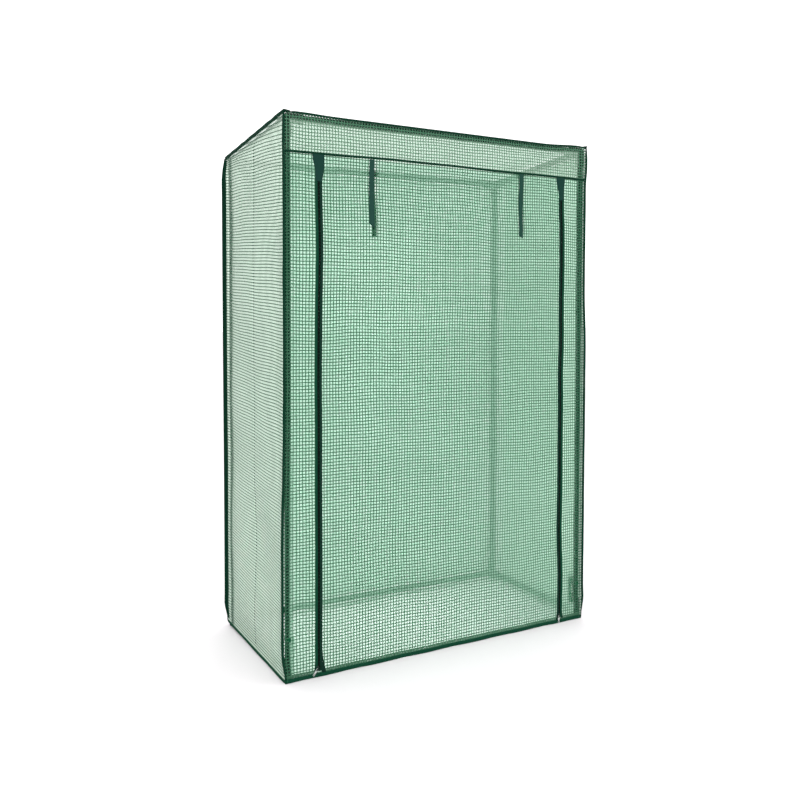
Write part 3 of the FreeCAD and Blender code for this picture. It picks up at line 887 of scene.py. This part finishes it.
def zipHalf(side, away, v0, v1, rows):
    # one half of a zip between two heights: away is 1 on the fixed side and -1 on the door
    turn = side * away

    def line(distance, v, lift=0.0):
        return onWall("front", side * zipU + turn * distance, v, lift)

    parts = []
    for key, ring, slot in (("tape", crowned(3, 0.1 * mm, 0.35 * mm, 0.5 * mm), 1),
                            ("fold", crowned(7, 0.15 * mm, 0.55 * mm, 1.25 * mm), 0 if away > 0 else 4)):
        near, far = zipLook[key]
        path = line((near + far) / 2, np.linspace(v0, v1, rows))
        parts.append(carried(path, (turn * (far - near) / 2, 0, 0), frontOut, ring, slot=slot))
    teeth = evenly(v0, v1, zipLook["toothPitch"]) + (0.5 * zipLook["toothPitch"] if away > 0 else 0)
    teeth = teeth[teeth < v1]
    near, far = zipLook["tooth"]
    if teeth.size:
        parts.append(blocks(line((near + far) / 2, teeth, zipLook["toothLift"]), (0, 0, zipLook["toothHalf"]),
                            ((far - near) / 2, 0, 0), frontOut * zipLook["toothThick"], 2))
    stitches = evenly(v0, v1, stitchLook["pitch"])
    if stitches.size:
        parts += [frontStitches(line(distance, stitches, zipLook["stitchLift"]), True, 0.22 * mm, 3)
                  for distance in zipLook["stitchRows"]]
    return parts


def zipFoot(side, away, low, high, spread):
    # wedge of tape beside the zip's lower end, widest at the hem
    t = np.linspace(0, 1, 9)
    v = high + (low - high) * t
    reach = 0.6 * mm + spread * t ** 1.6
    middle = side * zipU + side * away * (zipLook["fold"][1] - 1.2 * mm + reach / 2)
    path = onWall("front", middle, v)
    return carried(path, np.array([side * away, 0, 0]) * (reach / 2 + 1.0 * mm)[:, None], frontOut,
                   crowned(5, 0.1 * mm, 0.45 * mm, 0.95 * mm), slot=4)


for name, side in (("left", -1), ("right", 1)):
    parts = zipHalf(side, 1, zipLook["low"], zipLook["high"], 110)
    parts.append(zipFoot(side, 1, 15 * mm, 42 * mm, 4 * mm))
    ridingPiece(name + "ZipTape", parts, zipMaterials, "binding", name + "_zip_tape")

# Cloth patch that covers each zip's upper end, and each of its sides by what it adds at the top
# and where that eases out
patchLook = {"top": 1396 * mm, "bottom": 1327 * mm, "foot": 9.6 * mm, "swell": 1.9 * mm, "edge": 0.75 * mm,
             "low": 0.2 * mm, "stitchIn": 1.6 * mm, "stitchLift": 1.1 * mm}
patchSides = {
    (-1, "left"): {"extra": 7.2 * mm, "start": 0.0, "over": 44 * mm},
    (-1, "right"): {"extra": 7.6 * mm, "start": 20 * mm, "over": 60 * mm},
    (1, "left"): {"extra": 11.0 * mm, "start": 2 * mm, "over": 56 * mm},
    (1, "right"): {"extra": 3.8 * mm, "start": 0.0, "over": 40 * mm},
}
patchDrop = patchLook["top"] - patchLook["bottom"]


def patchReach(side, edge, t):
    # from the zip's middle to a side of the patch: the foot's reach and a part that eases out downwards
    look = patchSides[side, edge]
    return patchLook["foot"] + look["extra"] * (1 - ease((t * patchDrop - look["start"]) / look["over"]))


parts = []
for side in (-1, 1):
    t = np.linspace(0, 1, 25)
    c = np.linspace(-1, 1, 11)
    left, right = patchReach(side, "left", t), patchReach(side, "right", t)
    arch = np.sin(math.pi * t[:, None])
    fold = 0.45 * np.sin(3.1 * c + 9 * t[:, None] + side) * arch
    upper = patchLook["edge"] + patchLook["swell"] * (0.45 + 0.3 * fold + 0.25 * arch) * (1 - c ** 4)
    path = onWall("front", side * zipU + (right - left) / 2, patchLook["top"] - patchDrop * t)
    parts.append(carried(path, np.array([1.0, 0, 0]) * ((left + right) / 2)[:, None], frontOut,
                         bowedRing(c, upper, patchLook["low"])))
    at = np.linspace(0.05, 0.95, 15)
    for edge, way in (("left", -1), ("right", 1)):
        u = side * zipU + way * (patchReach(side, edge, at) - patchLook["stitchIn"])
        spots = onWall("front", u, patchLook["top"] - patchDrop * at, patchLook["stitchLift"])
        parts.append(frontStitches(spots, True, 0.3 * mm, 1))
ridingPiece("zipTopPatches", parts, [patchCloth, seamThread], "binding", "zip_top_patches")
print("zips and their patches made")

# Door: strips from the middle of one section to the middle of the next, each spanning the hinge between
bodies = ["greenhouse"] + [f"door_{k:02d}" for k in range(1, sections + 1)]
sectionEnds = [headerZ] + sectionTops + [floorGap]
middles = [(a + b) / 2 for a, b in zip(sectionEnds[:-1], sectionEnds[1:])]
stripEnds = [headerZ] + middles + [floorGap]
bendShare = 0.55      # share of the way from each hinge towards the middles of the sections on both sides
doorHem = {"top": 12 * mm, "bottom": 0.9 * mm, "wave": 0.5 * mm, "facing": 20.5 * mm}


def bendReach(k):
    # points a bend share of the way from strip k's hinge to the middles of the sections above and below it
    hinge = sectionEnds[k]
    return [(0, frontY, hinge + bendShare * (end - hinge)) for end in (middles[k - 1], middles[k])]


def hemWave(u):
    # slow rise and fall of the front hem
    return doorHem["wave"] * wave(u, 0.16, 1.2)


def facingBand(u0, u1, slot):
    # turned-up edge of the film over the front hem: its threads fall between those of the film in front
    top, bottom = doorHem["facing"], doorHem["top"] - 1.5 * mm
    at = (np.arange(math.ceil(u0 / pitch), math.floor(u1 / pitch)) + 0.5) * pitch
    spots = onWall("front", at, (top + bottom) / 2, 0.3 * mm)
    half = filmGrid["threadWidth"] / 2
    parts = [blocks(spots, (0, 0, (top - bottom) / 2), (half, 0, 0), frontOut * 0.3 * mm, slot)]
    u = np.linspace(u0, u1, max(6, round((u1 - u0) / (10 * mm))))
    ring = crowned(3, -0.1 * mm, 0.3 * mm, 0.55 * mm)
    for v in (top - 0.6 * mm, bottom + 3.2 * mm):
        parts.append(carried(onWall("front", u, v + hemWave(u)), (0, 0, 1.3 * mm), frontOut, ring, slot=slot))
    return parts


def doorHemParts():
    # folded tape along the door's lower edge, bowed on its face and rounded under, with a stitch row
    u = np.linspace(-doorHalf, doorHalf, 120)
    half = (doorHem["top"] - doorHem["bottom"]) / 2
    path = onWall("front", u, (doorHem["top"] + doorHem["bottom"]) / 2)
    path[:, 2] += hemWave(u)
    at = np.arange(-doorHalf + 12 * mm, doorHalf - 12 * mm, stitchLook["pitch"])
    spots = onWall("front", at, doorHem["top"] - 2.6 * mm, 1.0 * mm)
    return [carried(path, (0, 0, half), frontOut, crowned(7, -0.9 * mm, 0.35 * mm, 1.1 * mm)),
            *facingBand(-doorHalf, doorHalf, 5), frontStitches(spots, False, 0.25 * mm, 3)]


for k, (high, low) in enumerate(zip(stripEnds[:-1], stripEnds[1:])):
    rows = max(9, round((high - low) / (7 * mm)) + 1)
    reach = "front", -doorHalf, doorHalf, low, high
    sheet = filmPiece(f"doorFilm{k:02d}", *reach, film, rows)
    threads = threadPiece(f"doorThreads{k:02d}", *reach, rows, inside=doorYarnInside)
    pieces = [sheet, threads]
    edgeLow, edgeHigh = max(low, zipLook["low"]), min(high, zipLook["high"])
    if edgeHigh - edgeLow > 3 * mm:
        parts = [part for side in (-1, 1) for part in zipHalf(side, -1, edgeLow, edgeHigh, rows)]
        if k == sections + 1:
            parts += doorHemParts()
        pieces.append(makePiece(f"doorEdge{k:02d}", parts, zipMaterials))
    for piece in pieces:
        if k == 0:
            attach(piece, bodies[0])
        elif k == sections + 1:
            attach(piece, bodies[-1])
        else:
            bodies[k - 1]
            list(bendReach(k))
            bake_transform(piece)
    if k <= sections:
        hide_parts("door_top_section" if k == 0 else f"door_section_{k:02d}")
    2 * doorHalf
    high - low
print("door strips:", sections + 2)

# Wedges at the feet of the door's two edges reach over its last two strips
parts = [zipFoot(-1, -1, 11 * mm, 69 * mm, 11 * mm), zipFoot(1, -1, 11 * mm, 36 * mm, 5 * mm)]
feet = makePiece("doorFeet", parts, zipMaterials)
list(bendReach(sections))
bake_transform(feet)

# Standing binding: a folded tape over the seam along every edge of the roof and every upright corner
finLook = {"stand": 7.6 * mm, "flap": 4.8 * mm, "skirt": 3.6 * mm, "tilt": 76.0, "roofStep": 12 * mm,
           "corner": 6.4 * mm, "rearLeft": 1.3, "cornerLean": 18.0, "cornerStep": 16 * mm, "low": 6 * mm,
           "footShare": 0.3, "footReach": 70 * mm, "headLoss": 0.45, "headReach": 30 * mm,
           "thick": 0.95 * mm, "sway": 0.7 * mm,
           "stitchStep": 5.2 * mm, "stitchUp": 0.42, "stitchHalf": 1.7 * mm, "stitchEnds": 8 * mm}
finShare = np.array([-0.16, 0.25, 0.70, 0.93, 1.0])
finHalf = finLook["thick"] * np.array([0.9, 1.0, 0.95, 0.75, 0.3])
finRing = np.concatenate([np.stack([finShare, finHalf], 1), np.stack([finShare, -finHalf], 1)[::-1]])


def finStitches(center, across, up):
    # stitches through the fin, a little below its middle
    run = runOf(center)
    at = np.arange(finLook["stitchEnds"], run[-1] - finLook["stitchEnds"], finLook["stitchStep"])
    seam = center + finLook["stitchUp"] * across
    spot, lean, side = (alongRun(at, run, rows) for rows in (seam, across, up))
    ahead = unit(alongRun(at + 1 * mm, run, center) - alongRun(at - 1 * mm, run, center))
    return blocks(spot, ahead * finLook["stitchHalf"], unit(lean) * 0.25 * mm,
                  side * (finLook["thick"] + 0.14 * mm), 1)


# (u, v) corners of the roof, walked round so that outside lies on the right
roofCorners = np.array([(-edgeX, 0), (edgeX, 0), (edgeX, roofLength), (-edgeX, roofLength)])
spots, lean = [], []
for k in range(4):
    a, b = roofCorners[k], roofCorners[(k + 1) % 4]
    length = np.linalg.norm(b - a)
    share = np.linspace(0, 1, round(length / finLook["roofStep"]) + 1)[:-1]
    normal = np.array([b[1] - a[1], a[0] - b[0]]) / length
    spots.append(a + share[:, None] * (b - a))
    lean.append(np.where(share[:, None] == 0, np.sign(a - roofCorners.mean(0))[None], normal[None]))
spots, lean = np.concatenate(spots), np.concatenate(lean)
turn = np.arange(len(spots)) / len(spots) * 2 * math.pi
wobble = np.sin(29 * turn + 1.0) * 0.6 + np.sin(67 * turn + 2.2) * 0.4
# it stands up along the sides and the rear, and is folded over the front edge as a flap
hang = ease((edgeX - abs(spots[:, 0])) / (30 * mm)) * (spots[:, 1] < 1 * mm)
angle = np.radians(finLook["tilt"] * (1 - 2 * hang))
size = finLook["stand"] + (finLook["flap"] - finLook["stand"]) * hang
foot = -finLook["skirt"] + (finLook["skirt"] + 0.6 * mm) * hang
center = onWall("roof", spots[:, 0], spots[:, 1]) + np.concatenate([lean * 0.5 * mm, foot[:, None]], 1)
across = np.concatenate([lean * np.cos(angle)[:, None], np.sin(angle)[:, None]], 1) * size[:, None]
up = np.concatenate([-lean * np.sin(angle)[:, None], np.cos(angle)[:, None]], 1)
across = across * (1 + 0.05 * np.sin(41 * turn))[:, None] + up * (finLook["sway"] * wobble)[:, None]
ridingPiece("roofBinding", [carried(center, across, up, finRing, loop=True), finStitches(center, across, up)],
            [bindingCloth, seamThread], "binding", "roof_binding")

parts = []
for wall, sy in (("front", -1), ("rear", 1)):
    for sx in (-1, 1):
        top = float(topOf(wall, np.array([edgeX]))[0])
        z = np.linspace(finLook["low"], top - 1 * mm, round(top / finLook["cornerStep"]))
        center = onWall(wall, sx * walls[wall]["u"][0] * edgeX, z)
        wobble = 0.7 * wave(z, 0.33, sx + 2 * sy) + 0.4 * wave(z, 0.12, sy)
        foot = ease((z - finLook["low"]) / finLook["footReach"])
        head = ease((z - top) / finLook["headReach"] + 1)
        size = (finLook["footShare"] + (1 - finLook["footShare"]) * foot) * (1 - finLook["headLoss"] * head)
        turn = math.radians(finLook["cornerLean"])
        up = np.broadcast_to(np.array([-sy * math.sin(turn), sx * math.cos(turn), 0]), center.shape)
        size = size * (finLook["rearLeft"] if (sx, sy) == (-1, 1) else 1.0)
        across = np.array([sx * math.cos(turn), sy * math.sin(turn), 0]) * (finLook["corner"] * size)[:, None]
        across = across + up * (finLook["sway"] * wobble * size)[:, None]
        parts += [carried(center, across, up, finRing), finStitches(center, across, up)]
# flat legs of the left ones, as narrow bands side by side:
# on the front film, and on the rear edge of the left wall
flatLegs = {"front": {"from": -edgeX, "wide": 2.0 * mm, "bands": 1, "low": 6 * mm, "slot": 2},
            "left": {"from": -rearEdgeY, "wide": 13 * mm, "bands": 4, "low": 16 * mm, "slot": 0}}
for wall, leg in flatLegs.items():
    z = np.linspace(leg["low"], topOf(wall, np.array([leg["from"]]))[0] - 9 * mm, 120)
    half = leg["wide"] / leg["bands"] / 2
    for k in range(leg["bands"]):
        path = onWall(wall, leg["from"] + (2 * k + 1) * half, z)
        parts.append(carried(path, np.array(walls[wall]["u"]) * half, outOf(wall),
                             crowned(7, -0.2 * mm, 0.4 * mm, 0.95 * mm), slot=leg["slot"]))
ridingPiece("cornerBinding", parts, [bindingCloth, seamThread, hemCloth], "binding", "corner_binding")

# Seam band across the front under the header
headerBand = {"half": 3.2 * mm, "above": 4.0 * mm, "arch": 3.3 * mm, "archAt": -130 * mm,
              "archWide": 200 * mm, "edge": 0.5 * mm, "crown": 1.5 * mm, "wave": 0.4 * mm,
              "stitchUp": 1.3 * mm}


def headerLine(u):
    # the band's height: a little over the seam, with a low arch left of the middle
    arch = headerBand["arch"] * bell(u - headerBand["archAt"], headerBand["archWide"])
    return headerZ + headerBand["above"] + arch


u = np.linspace(-edgeX + 1 * mm, edgeX - 1 * mm, 150)
path = onWall("front", u, headerLine(u))
path[:, 2] += headerBand["wave"] * wave(u, 0.27, 0.4)
ring = crowned(7, -0.2 * mm, headerBand["edge"], headerBand["crown"])
at = np.arange(-edgeX + 9 * mm, edgeX - 9 * mm, stitchLook["pitch"])
spots = onWall("front", at, headerLine(at) + headerBand["stitchUp"], headerBand["crown"])
parts = [carried(path, (0, 0, headerBand["half"]), frontOut, ring), frontStitches(spots, False, 0.2 * mm, 1)]
ridingPiece("headerBinding", parts, [bindingCloth, seamThread], "binding", "header_binding")

# Hem: a folded tape round the foot of the cover, from zip to zip
hemLook = {"top": 11.6 * mm, "sideTop": 8.0 * mm, "bottom": 0.9 * mm, "wave": 0.7 * mm}
hemEnds = [side * (zipU + 0.5 * mm) + float(zipBow(side * zipU, 6 * mm)) for side in (-1, 1)]
corners = [(hemEnds[0], frontEdgeY), (-edgeX, frontEdgeY), (-edgeX, rearEdgeY),
           (edgeX, rearEdgeY), (edgeX, frontEdgeY), (hemEnds[1], frontEdgeY)]
base, lean = [], []
for k in range(5):
    a, b = np.array(corners[k]), np.array(corners[k + 1])
    length = np.linalg.norm(b - a)
    along = (b - a) / length
    normal = np.array([along[1], -along[0]])
    share = np.linspace(0, 1, max(6, round(length / (12 * mm))) + 1)[(0 if k == 0 else 1):]
    base.append(a + share[:, None] * (b - a))
    lean.append(np.where((share[:, None] == 1) & (k < 4), np.sign(b)[None], normal[None]))
base, lean = np.concatenate(base), np.concatenate(lean)
run = runOf(base)
hemTop = np.where(base[:, 1] < frontEdgeY + 1 * mm, hemLook["top"], hemLook["sideTop"])
halfHem = (hemTop - hemLook["bottom"]) / 2
height = hemLook["bottom"] + halfHem + hemLook["wave"] * wave(run, 0.19) + footRise(base[:, 1])
center = np.concatenate([base, height[:, None]], 1)
outward = np.concatenate([lean, np.zeros((len(lean), 1))], 1)
at = np.arange(6 * mm, run[-1] - 6 * mm, stitchLook["pitch"])
spots, facing = alongRun(at, run, center), alongRun(at, run, outward)
spots[:, 2] += 0.45 * np.interp(at, run, halfHem)
ahead = alongRun(at + 1 * mm, run, base) - alongRun(at - 1 * mm, run, base)
ahead = unit(np.concatenate([ahead, 0 * ahead[:, :1]], 1))
ring = crowned(7, -1.3 * mm, 0.35 * mm, 1.1 * mm)
ridingPiece("hemBinding", [
    carried(center, np.array([0, 0, 1.0]) * halfHem[:, None], outward, ring),
    blocks(spots + facing * 0.95 * mm, ahead * stitchLook["level"], (0, 0, stitchLook["half"]),
           facing * 0.25 * mm, 1),
    *facingBand(-edgeX + 4 * mm, -stripInner, 2), *facingBand(stripInner, edgeX - 4 * mm, 2),
], [hemCloth, seamThread, yarn], "binding", "hem_binding")
print("bindings made")

# Ribbons that tie the rolled door: one outside and one inside on each side
ribbonLook = {
    "outerRibbonLeft": {"u": -248 * mm, "low": 1213 * mm, "high": 1396 * mm, "half": 7.6 * mm,
                        "lift": 1.0 * mm, "sway": -1.5 * mm, "lean": -3.5 * mm, "cut": -7.0 * mm},
    "outerRibbonRight": {"u": 252 * mm, "low": 1209 * mm, "high": 1396 * mm, "half": 7.3 * mm,
                         "lift": 1.0 * mm, "sway": -1.0 * mm, "lean": -6.0 * mm, "cut": -4.0 * mm},
    "innerRibbonLeft": {"u": -246 * mm, "low": 1184 * mm, "high": 1397 * mm, "half": 6.6 * mm,
                        "lift": -1.3 * mm, "sway": 1.5 * mm, "lean": 3.0 * mm, "cut": 1.5 * mm},
    "innerRibbonRight": {"u": 253 * mm, "low": 1222 * mm, "high": 1397 * mm, "half": 6.6 * mm,
                         "lift": -1.3 * mm, "sway": 1.0 * mm, "lean": -5.0 * mm, "cut": 2.0 * mm},
}
for name, look in ribbonLook.items():
    v = np.linspace(look["high"], look["low"], 40)
    t = (look["high"] - v) / (look["high"] - look["low"])
    outer = look["lift"] > 0
    drift = look["sway"] * np.sin(math.pi * t ** 1.3) * t + look["lean"] * t ** 1.5
    path = onWall("front", look["u"] + drift, v)
    bow = (0.5 * mm * np.sin(5 * t) + 1.4 * mm * t ** 2) * (1 if outer else -1)
    path = path + (look["lift"] + bow)[:, None] * frontOut
    twist = 0.10 * np.sin(4.2 * t + look["u"] * 9) * t
    across = look["half"] * np.stack([np.cos(twist), -np.sin(twist), 0 * t], 1)
    across[:, 2] += look["cut"] * ease((t - 0.88) / 0.12)
    up = np.stack([-np.sin(twist), -np.cos(twist), 0 * t], 1)
    ring = crowned(5, -0.28 * mm, 0.22 * mm, 0.34 * mm)
    ribbon = makePiece(name, [carried(path, across, up, ring)], [ribbonCloth if outer else innerCloth])
    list(bendReach(1))
    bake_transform(ribbon)
    if name == "outerRibbonLeft":
        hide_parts("outer_ribbon_tops", "outer_ribbon_ends")
    if name == "innerRibbonLeft":
        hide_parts("inner_ribbons")

# Ribbons tied round the posts near the ground: a band, a drooping loop and a knot
tieLook = {"radius": 10.3 * mm, "halfBand": 6 * mm, "height": 115.3 * mm, "clear": 13.4 * mm, "face": 0.6}
loopLook = {-1: {"reach": 4.6 * mm, "drop": 76 * mm, "rise": 4 * mm, "half": 5.0 * mm},
            1: {"reach": 9.5 * mm, "drop": 66 * mm, "rise": 48 * mm, "half": 6.8 * mm}}
postX = sum(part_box("front_right_lower_post")[k].x for k in (0, 1)) / 2
postYs = [sum(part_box(end + "_right_lower_post")[k].y for k in (0, 1)) / 2 for end in ("front", "rear")]
parts = []
for side in (-1, 1):
    for y in postYs:
        inward = -side
        angle = np.linspace(0, 2 * math.pi, 33)[:-1]
        radial = np.stack([np.cos(angle), np.sin(angle), 0 * angle], 1)
        middle = np.array([side * postX, y, tieLook["height"]])
        band = middle + tieLook["radius"] * radial
        band[:, 2] += 1.2 * mm * np.sin(angle + side)
        ring = crowned(5, -0.3 * mm, 0.25 * mm, 0.4 * mm)
        parts.append(carried(band, (0, 0, tieLook["halfBand"]), radial, ring, slot=1, loop=True))
        inside = -np.sign(y)
        for lean, size in ((0.12, 1.0), (0.55, 0.7)):
            # a slack loop: up from the knot and out from the post, then down and back to it
            look = loopLook[side]
            t = np.linspace(0, 1, 40)
            slackOut = look["reach"] * size * np.sin(math.pi * t) ** 0.7
            out = tieLook["clear"] - 2.2 * mm * (1 - ease(t / 0.12)) + slackOut
            rise = look["rise"] * np.sin(math.pi * np.clip(t / 0.45, 0, 1))
            fall = 3 * mm + size * (rise - look["drop"] * t)
            path = middle + np.stack([inward * out * math.cos(lean), inside * out * math.sin(lean), fall], 1)
            across = np.array([side * math.sin(tieLook["face"]), -inside * math.cos(tieLook["face"]), 0])
            up = np.cross(unit(np.gradient(path, axis=0)), across)
            ring = crowned(5, -0.25 * mm, 0.2 * mm, 0.35 * mm)
            parts.append(carried(path, across * look["half"], up, ring))
        knot = middle + np.array([inward * (tieLook["radius"] + 1.2 * mm), 0, 0])
        t = np.linspace(-1, 1, 9)
        path = knot + np.stack([0 * t, 6.5 * mm * t, 0 * t], 1)
        swell = np.sqrt(np.clip(1 - t ** 2, 0.06, 1))[:, None]
        parts.append(carried(path, np.array([0, 0, 5.2 * mm]) * swell, np.array([inward * 1.0, 0, 0]) * swell,
                             oval(1.0, 2.4 * mm, 12), slot=1))
ridingPiece("postTies", parts, [tieCloth, innerCloth], "ribbon", "post_ties")
print("ribbons and ties made")

# Zip sliders and pulls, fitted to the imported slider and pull
sliderLook = {"plate": 2.0 * mm, "bailHalf": 1.25 * mm, "bailThick": 0.55 * mm, "bailSpan": 5.0 * mm,
              "bailSink": 0.4 * mm}
# a pull's tilt is in degrees, the lower end to the left
pullLook = {"wire": 0.6 * mm, "window": (2.5 * mm, 4.1 * mm), "ring": (2.4 * mm, 2.7 * mm),
            "ringRise": 3.3 * mm, "tilt": {"left": 38.0, "right": 5.0}}
for name in ("left", "right"):
    low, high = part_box(name + "_zip_slider")
    x, back, face = (low.x + high.x) / 2, high.y, high.y - sliderLook["plate"]
    z = np.linspace(low.z, high.z, 19)
    t = np.linspace(-1, 1, 19)
    half = (high.x - low.x) / 2 * (0.80 + 0.20 * ease((t + 0.4) / 1.2))
    half = half * np.sqrt(np.clip(1 - np.abs(t) ** 7, 0.12, 1))
    path = np.stack([np.full_like(z, x), np.full_like(z, back), z], 1)
    swell = np.sqrt(np.clip(1 - np.abs(t) ** 8, 0.2, 1))
    c = np.linspace(-1, 1, 9)
    upper = sliderLook["plate"] * swell[:, None] * (0.55 + 0.45 * (1 - c ** 6))
    parts = [carried(path, np.array([1.0, 0, 0]) * half[:, None], (0, -1, 0), bowedRing(c, upper, 0.0))]
    a = np.linspace(0, math.pi, 25)
    sink = sliderLook["bailSink"]
    bailY = face + sink - (face - low.y - sliderLook["bailThick"] + sink) * np.sin(a) ** 0.45
    bailZ = (low.z + high.z) / 2 + sliderLook["bailSpan"] * squarish(np.cos(a), 0.7)
    path = np.stack([np.full_like(a, x), bailY, bailZ], 1)
    up = np.cross(unit(np.gradient(path, axis=0)), (1.0, 0, 0))
    parts.append(carried(path, (1.0, 0, 0), up, oval(sliderLook["bailHalf"], sliderLook["bailThick"], 12)))
    ridingPiece(name + "ZipSlider", parts, [sliderCoat], "zip_metal", name + "_zip_slider",
                body=name + "_slider")

    low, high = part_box(name + "_zip_pull")
    x, y, axisZ = (low.x + high.x) / 2, (low.y + high.y) / 2, high.z - pullLook["wire"]
    outline = np.linspace(0, 2 * math.pi, 49)[:-1]
    wide, deep = pullLook["window"]
    windowX = wide * squarish(np.cos(outline), 0.45)
    windowZ = axisZ - deep + deep * squarish(np.sin(outline), 0.45)
    wide, deep = pullLook["ring"]
    ringX, ringZ = wide * np.cos(outline), low.z + pullLook["ringRise"] + deep * np.sin(outline)
    wire = oval(pullLook["wire"], pullLook["wire"], 8)
    parts = []
    for px, pz in ((windowX, windowZ), (ringX, ringZ)):
        path = np.stack([x + px, np.full_like(px, y), pz], 1)
        ahead = unit(np.roll(path, -1, 0) - np.roll(path, 1, 0))
        parts.append(carried(path, np.cross(ahead, (0, 1.0, 0)), (0, 1.0, 0), wire, loop=True))
    z = np.linspace(axisZ - 8.3 * mm, low.z + 5.2 * mm, 15)
    t = np.linspace(0, 1, 15)
    half = (2.9 - 1.0 * ease(t)) * mm * np.sqrt(np.clip(1 - np.abs(2 * t - 1) ** 9, 0.3, 1))
    path = np.stack([np.full_like(z, x), np.full_like(z, y + 0.45 * mm), z], 1)
    ring = crowned(7, 0.0, 0.7 * mm, 1.0 * mm)
    parts.append(carried(path, np.array([1.0, 0, 0]) * half[:, None], (0, -1, 0), ring))
    turn = math.radians(pullLook["tilt"][name])
    for part in parts:          # hangs askew from its bar
        dx, dz = part["points"][:, 0] - x, part["points"][:, 2] - axisZ
        part["points"] = np.stack([x + math.cos(turn) * dx + math.sin(turn) * dz, part["points"][:, 1],
                                   axisZ - math.sin(turn) * dx + math.cos(turn) * dz], 1)
    ridingPiece(name + "ZipPull", parts, [zincPlate], "zip_metal", name + "_zip_pull", body=name + "_pull")
print("sliders and pulls made")

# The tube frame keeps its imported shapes
for node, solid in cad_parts.items():
    isTube, isConnector = node.endswith(("_post", "_rail")), node.endswith("_connectors")
    coat = tubeCoat if isTube else connectorPlastic if isConnector else None
    if coat:
        solid.data.materials.clear()
        solid.data.materials.append(coat)

# Studio: pale floor, white surroundings, three soft lamps and one under the roof
floorLook = {"reach": 30.0, "colour": tone(225, 221, 224)}
floorMesh = bpy.data.meshes.new("floor")
reach = floorLook["reach"]
floorCorners = [(-reach, -reach, 0), (reach, -reach, 0), (reach, reach, 0), (-reach, reach, 0)]
floorMesh.from_pydata(floorCorners, [], [(0, 1, 2, 3)])
floor = bpy.data.objects.new("floor", floorMesh)
bpy.context.scene.collection.objects.link(floor)
floorMesh.materials.append(Paint("paleFloor").finish({"Base Color": floorLook["colour"], "Roughness": 0.7}))
floor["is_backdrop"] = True

world = bpy.data.worlds.new("studio")
world.use_nodes = True
world.node_tree.nodes["Background"].inputs["Color"].default_value = (1, 1, 1, 1)
world.node_tree.nodes["Background"].inputs["Strength"].default_value = 1.5
bpy.context.scene.world = world

lamps = {
    "keyLamp": {"at": (-3.2, -3.6, 3.4), "size": 2.4, "watts": 70},
    "fillLamp": {"at": (3.4, -2.6, 2.2), "size": 2.4, "watts": 25},
    "topLamp": {"at": (0.3, 0.8, 4.2), "size": 2.6, "watts": 40},
    "insideLamp": {"at": (0, 0, 1.40), "size": 0.42, "watts": 2.8, "spread": 70},
}
for name, look in lamps.items():
    lamp = bpy.data.lights.new(name, "AREA")
    lamp.size = look["size"]
    lamp.energy = look["watts"]
    lamp.spread = math.radians(look.get("spread", 180))
    holder = bpy.data.objects.new(name, lamp)
    holder.location = look["at"]
    holder.visible_camera = False
    aim = holder.location.copy()
    aim.z -= 0.7
    holder.rotation_euler = aim.to_track_quat("Z", "Y").to_euler()
    bpy.context.scene.collection.objects.link(holder)

# Camera, solved from the photo's corners
view = {"at": (-1.306, -2.3857, 0.9974), "yaw": 29.97, "pitch": -2.28, "roll": 0.22,
        "lens": 39.13, "shift": (-0.0339, -0.0735)}
cameraData = bpy.data.cameras.new("camera")
cameraData.lens = view["lens"]
cameraData.sensor_width = 36.0
cameraData.shift_x, cameraData.shift_y = view["shift"]
camera = bpy.data.objects.new("camera", cameraData)
camera.location = view["at"]
facing = Euler((math.radians(90 + view["pitch"]), 0, math.radians(-view["yaw"]))).to_matrix()
camera.rotation_euler = (facing @ Matrix.Rotation(math.radians(view["roll"]), 3, "Z")).to_euler()
bpy.context.scene.collection.objects.link(camera)
bpy.context.scene.camera = camera
bpy.context.scene.view_settings.view_transform = "Standard"

low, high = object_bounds()
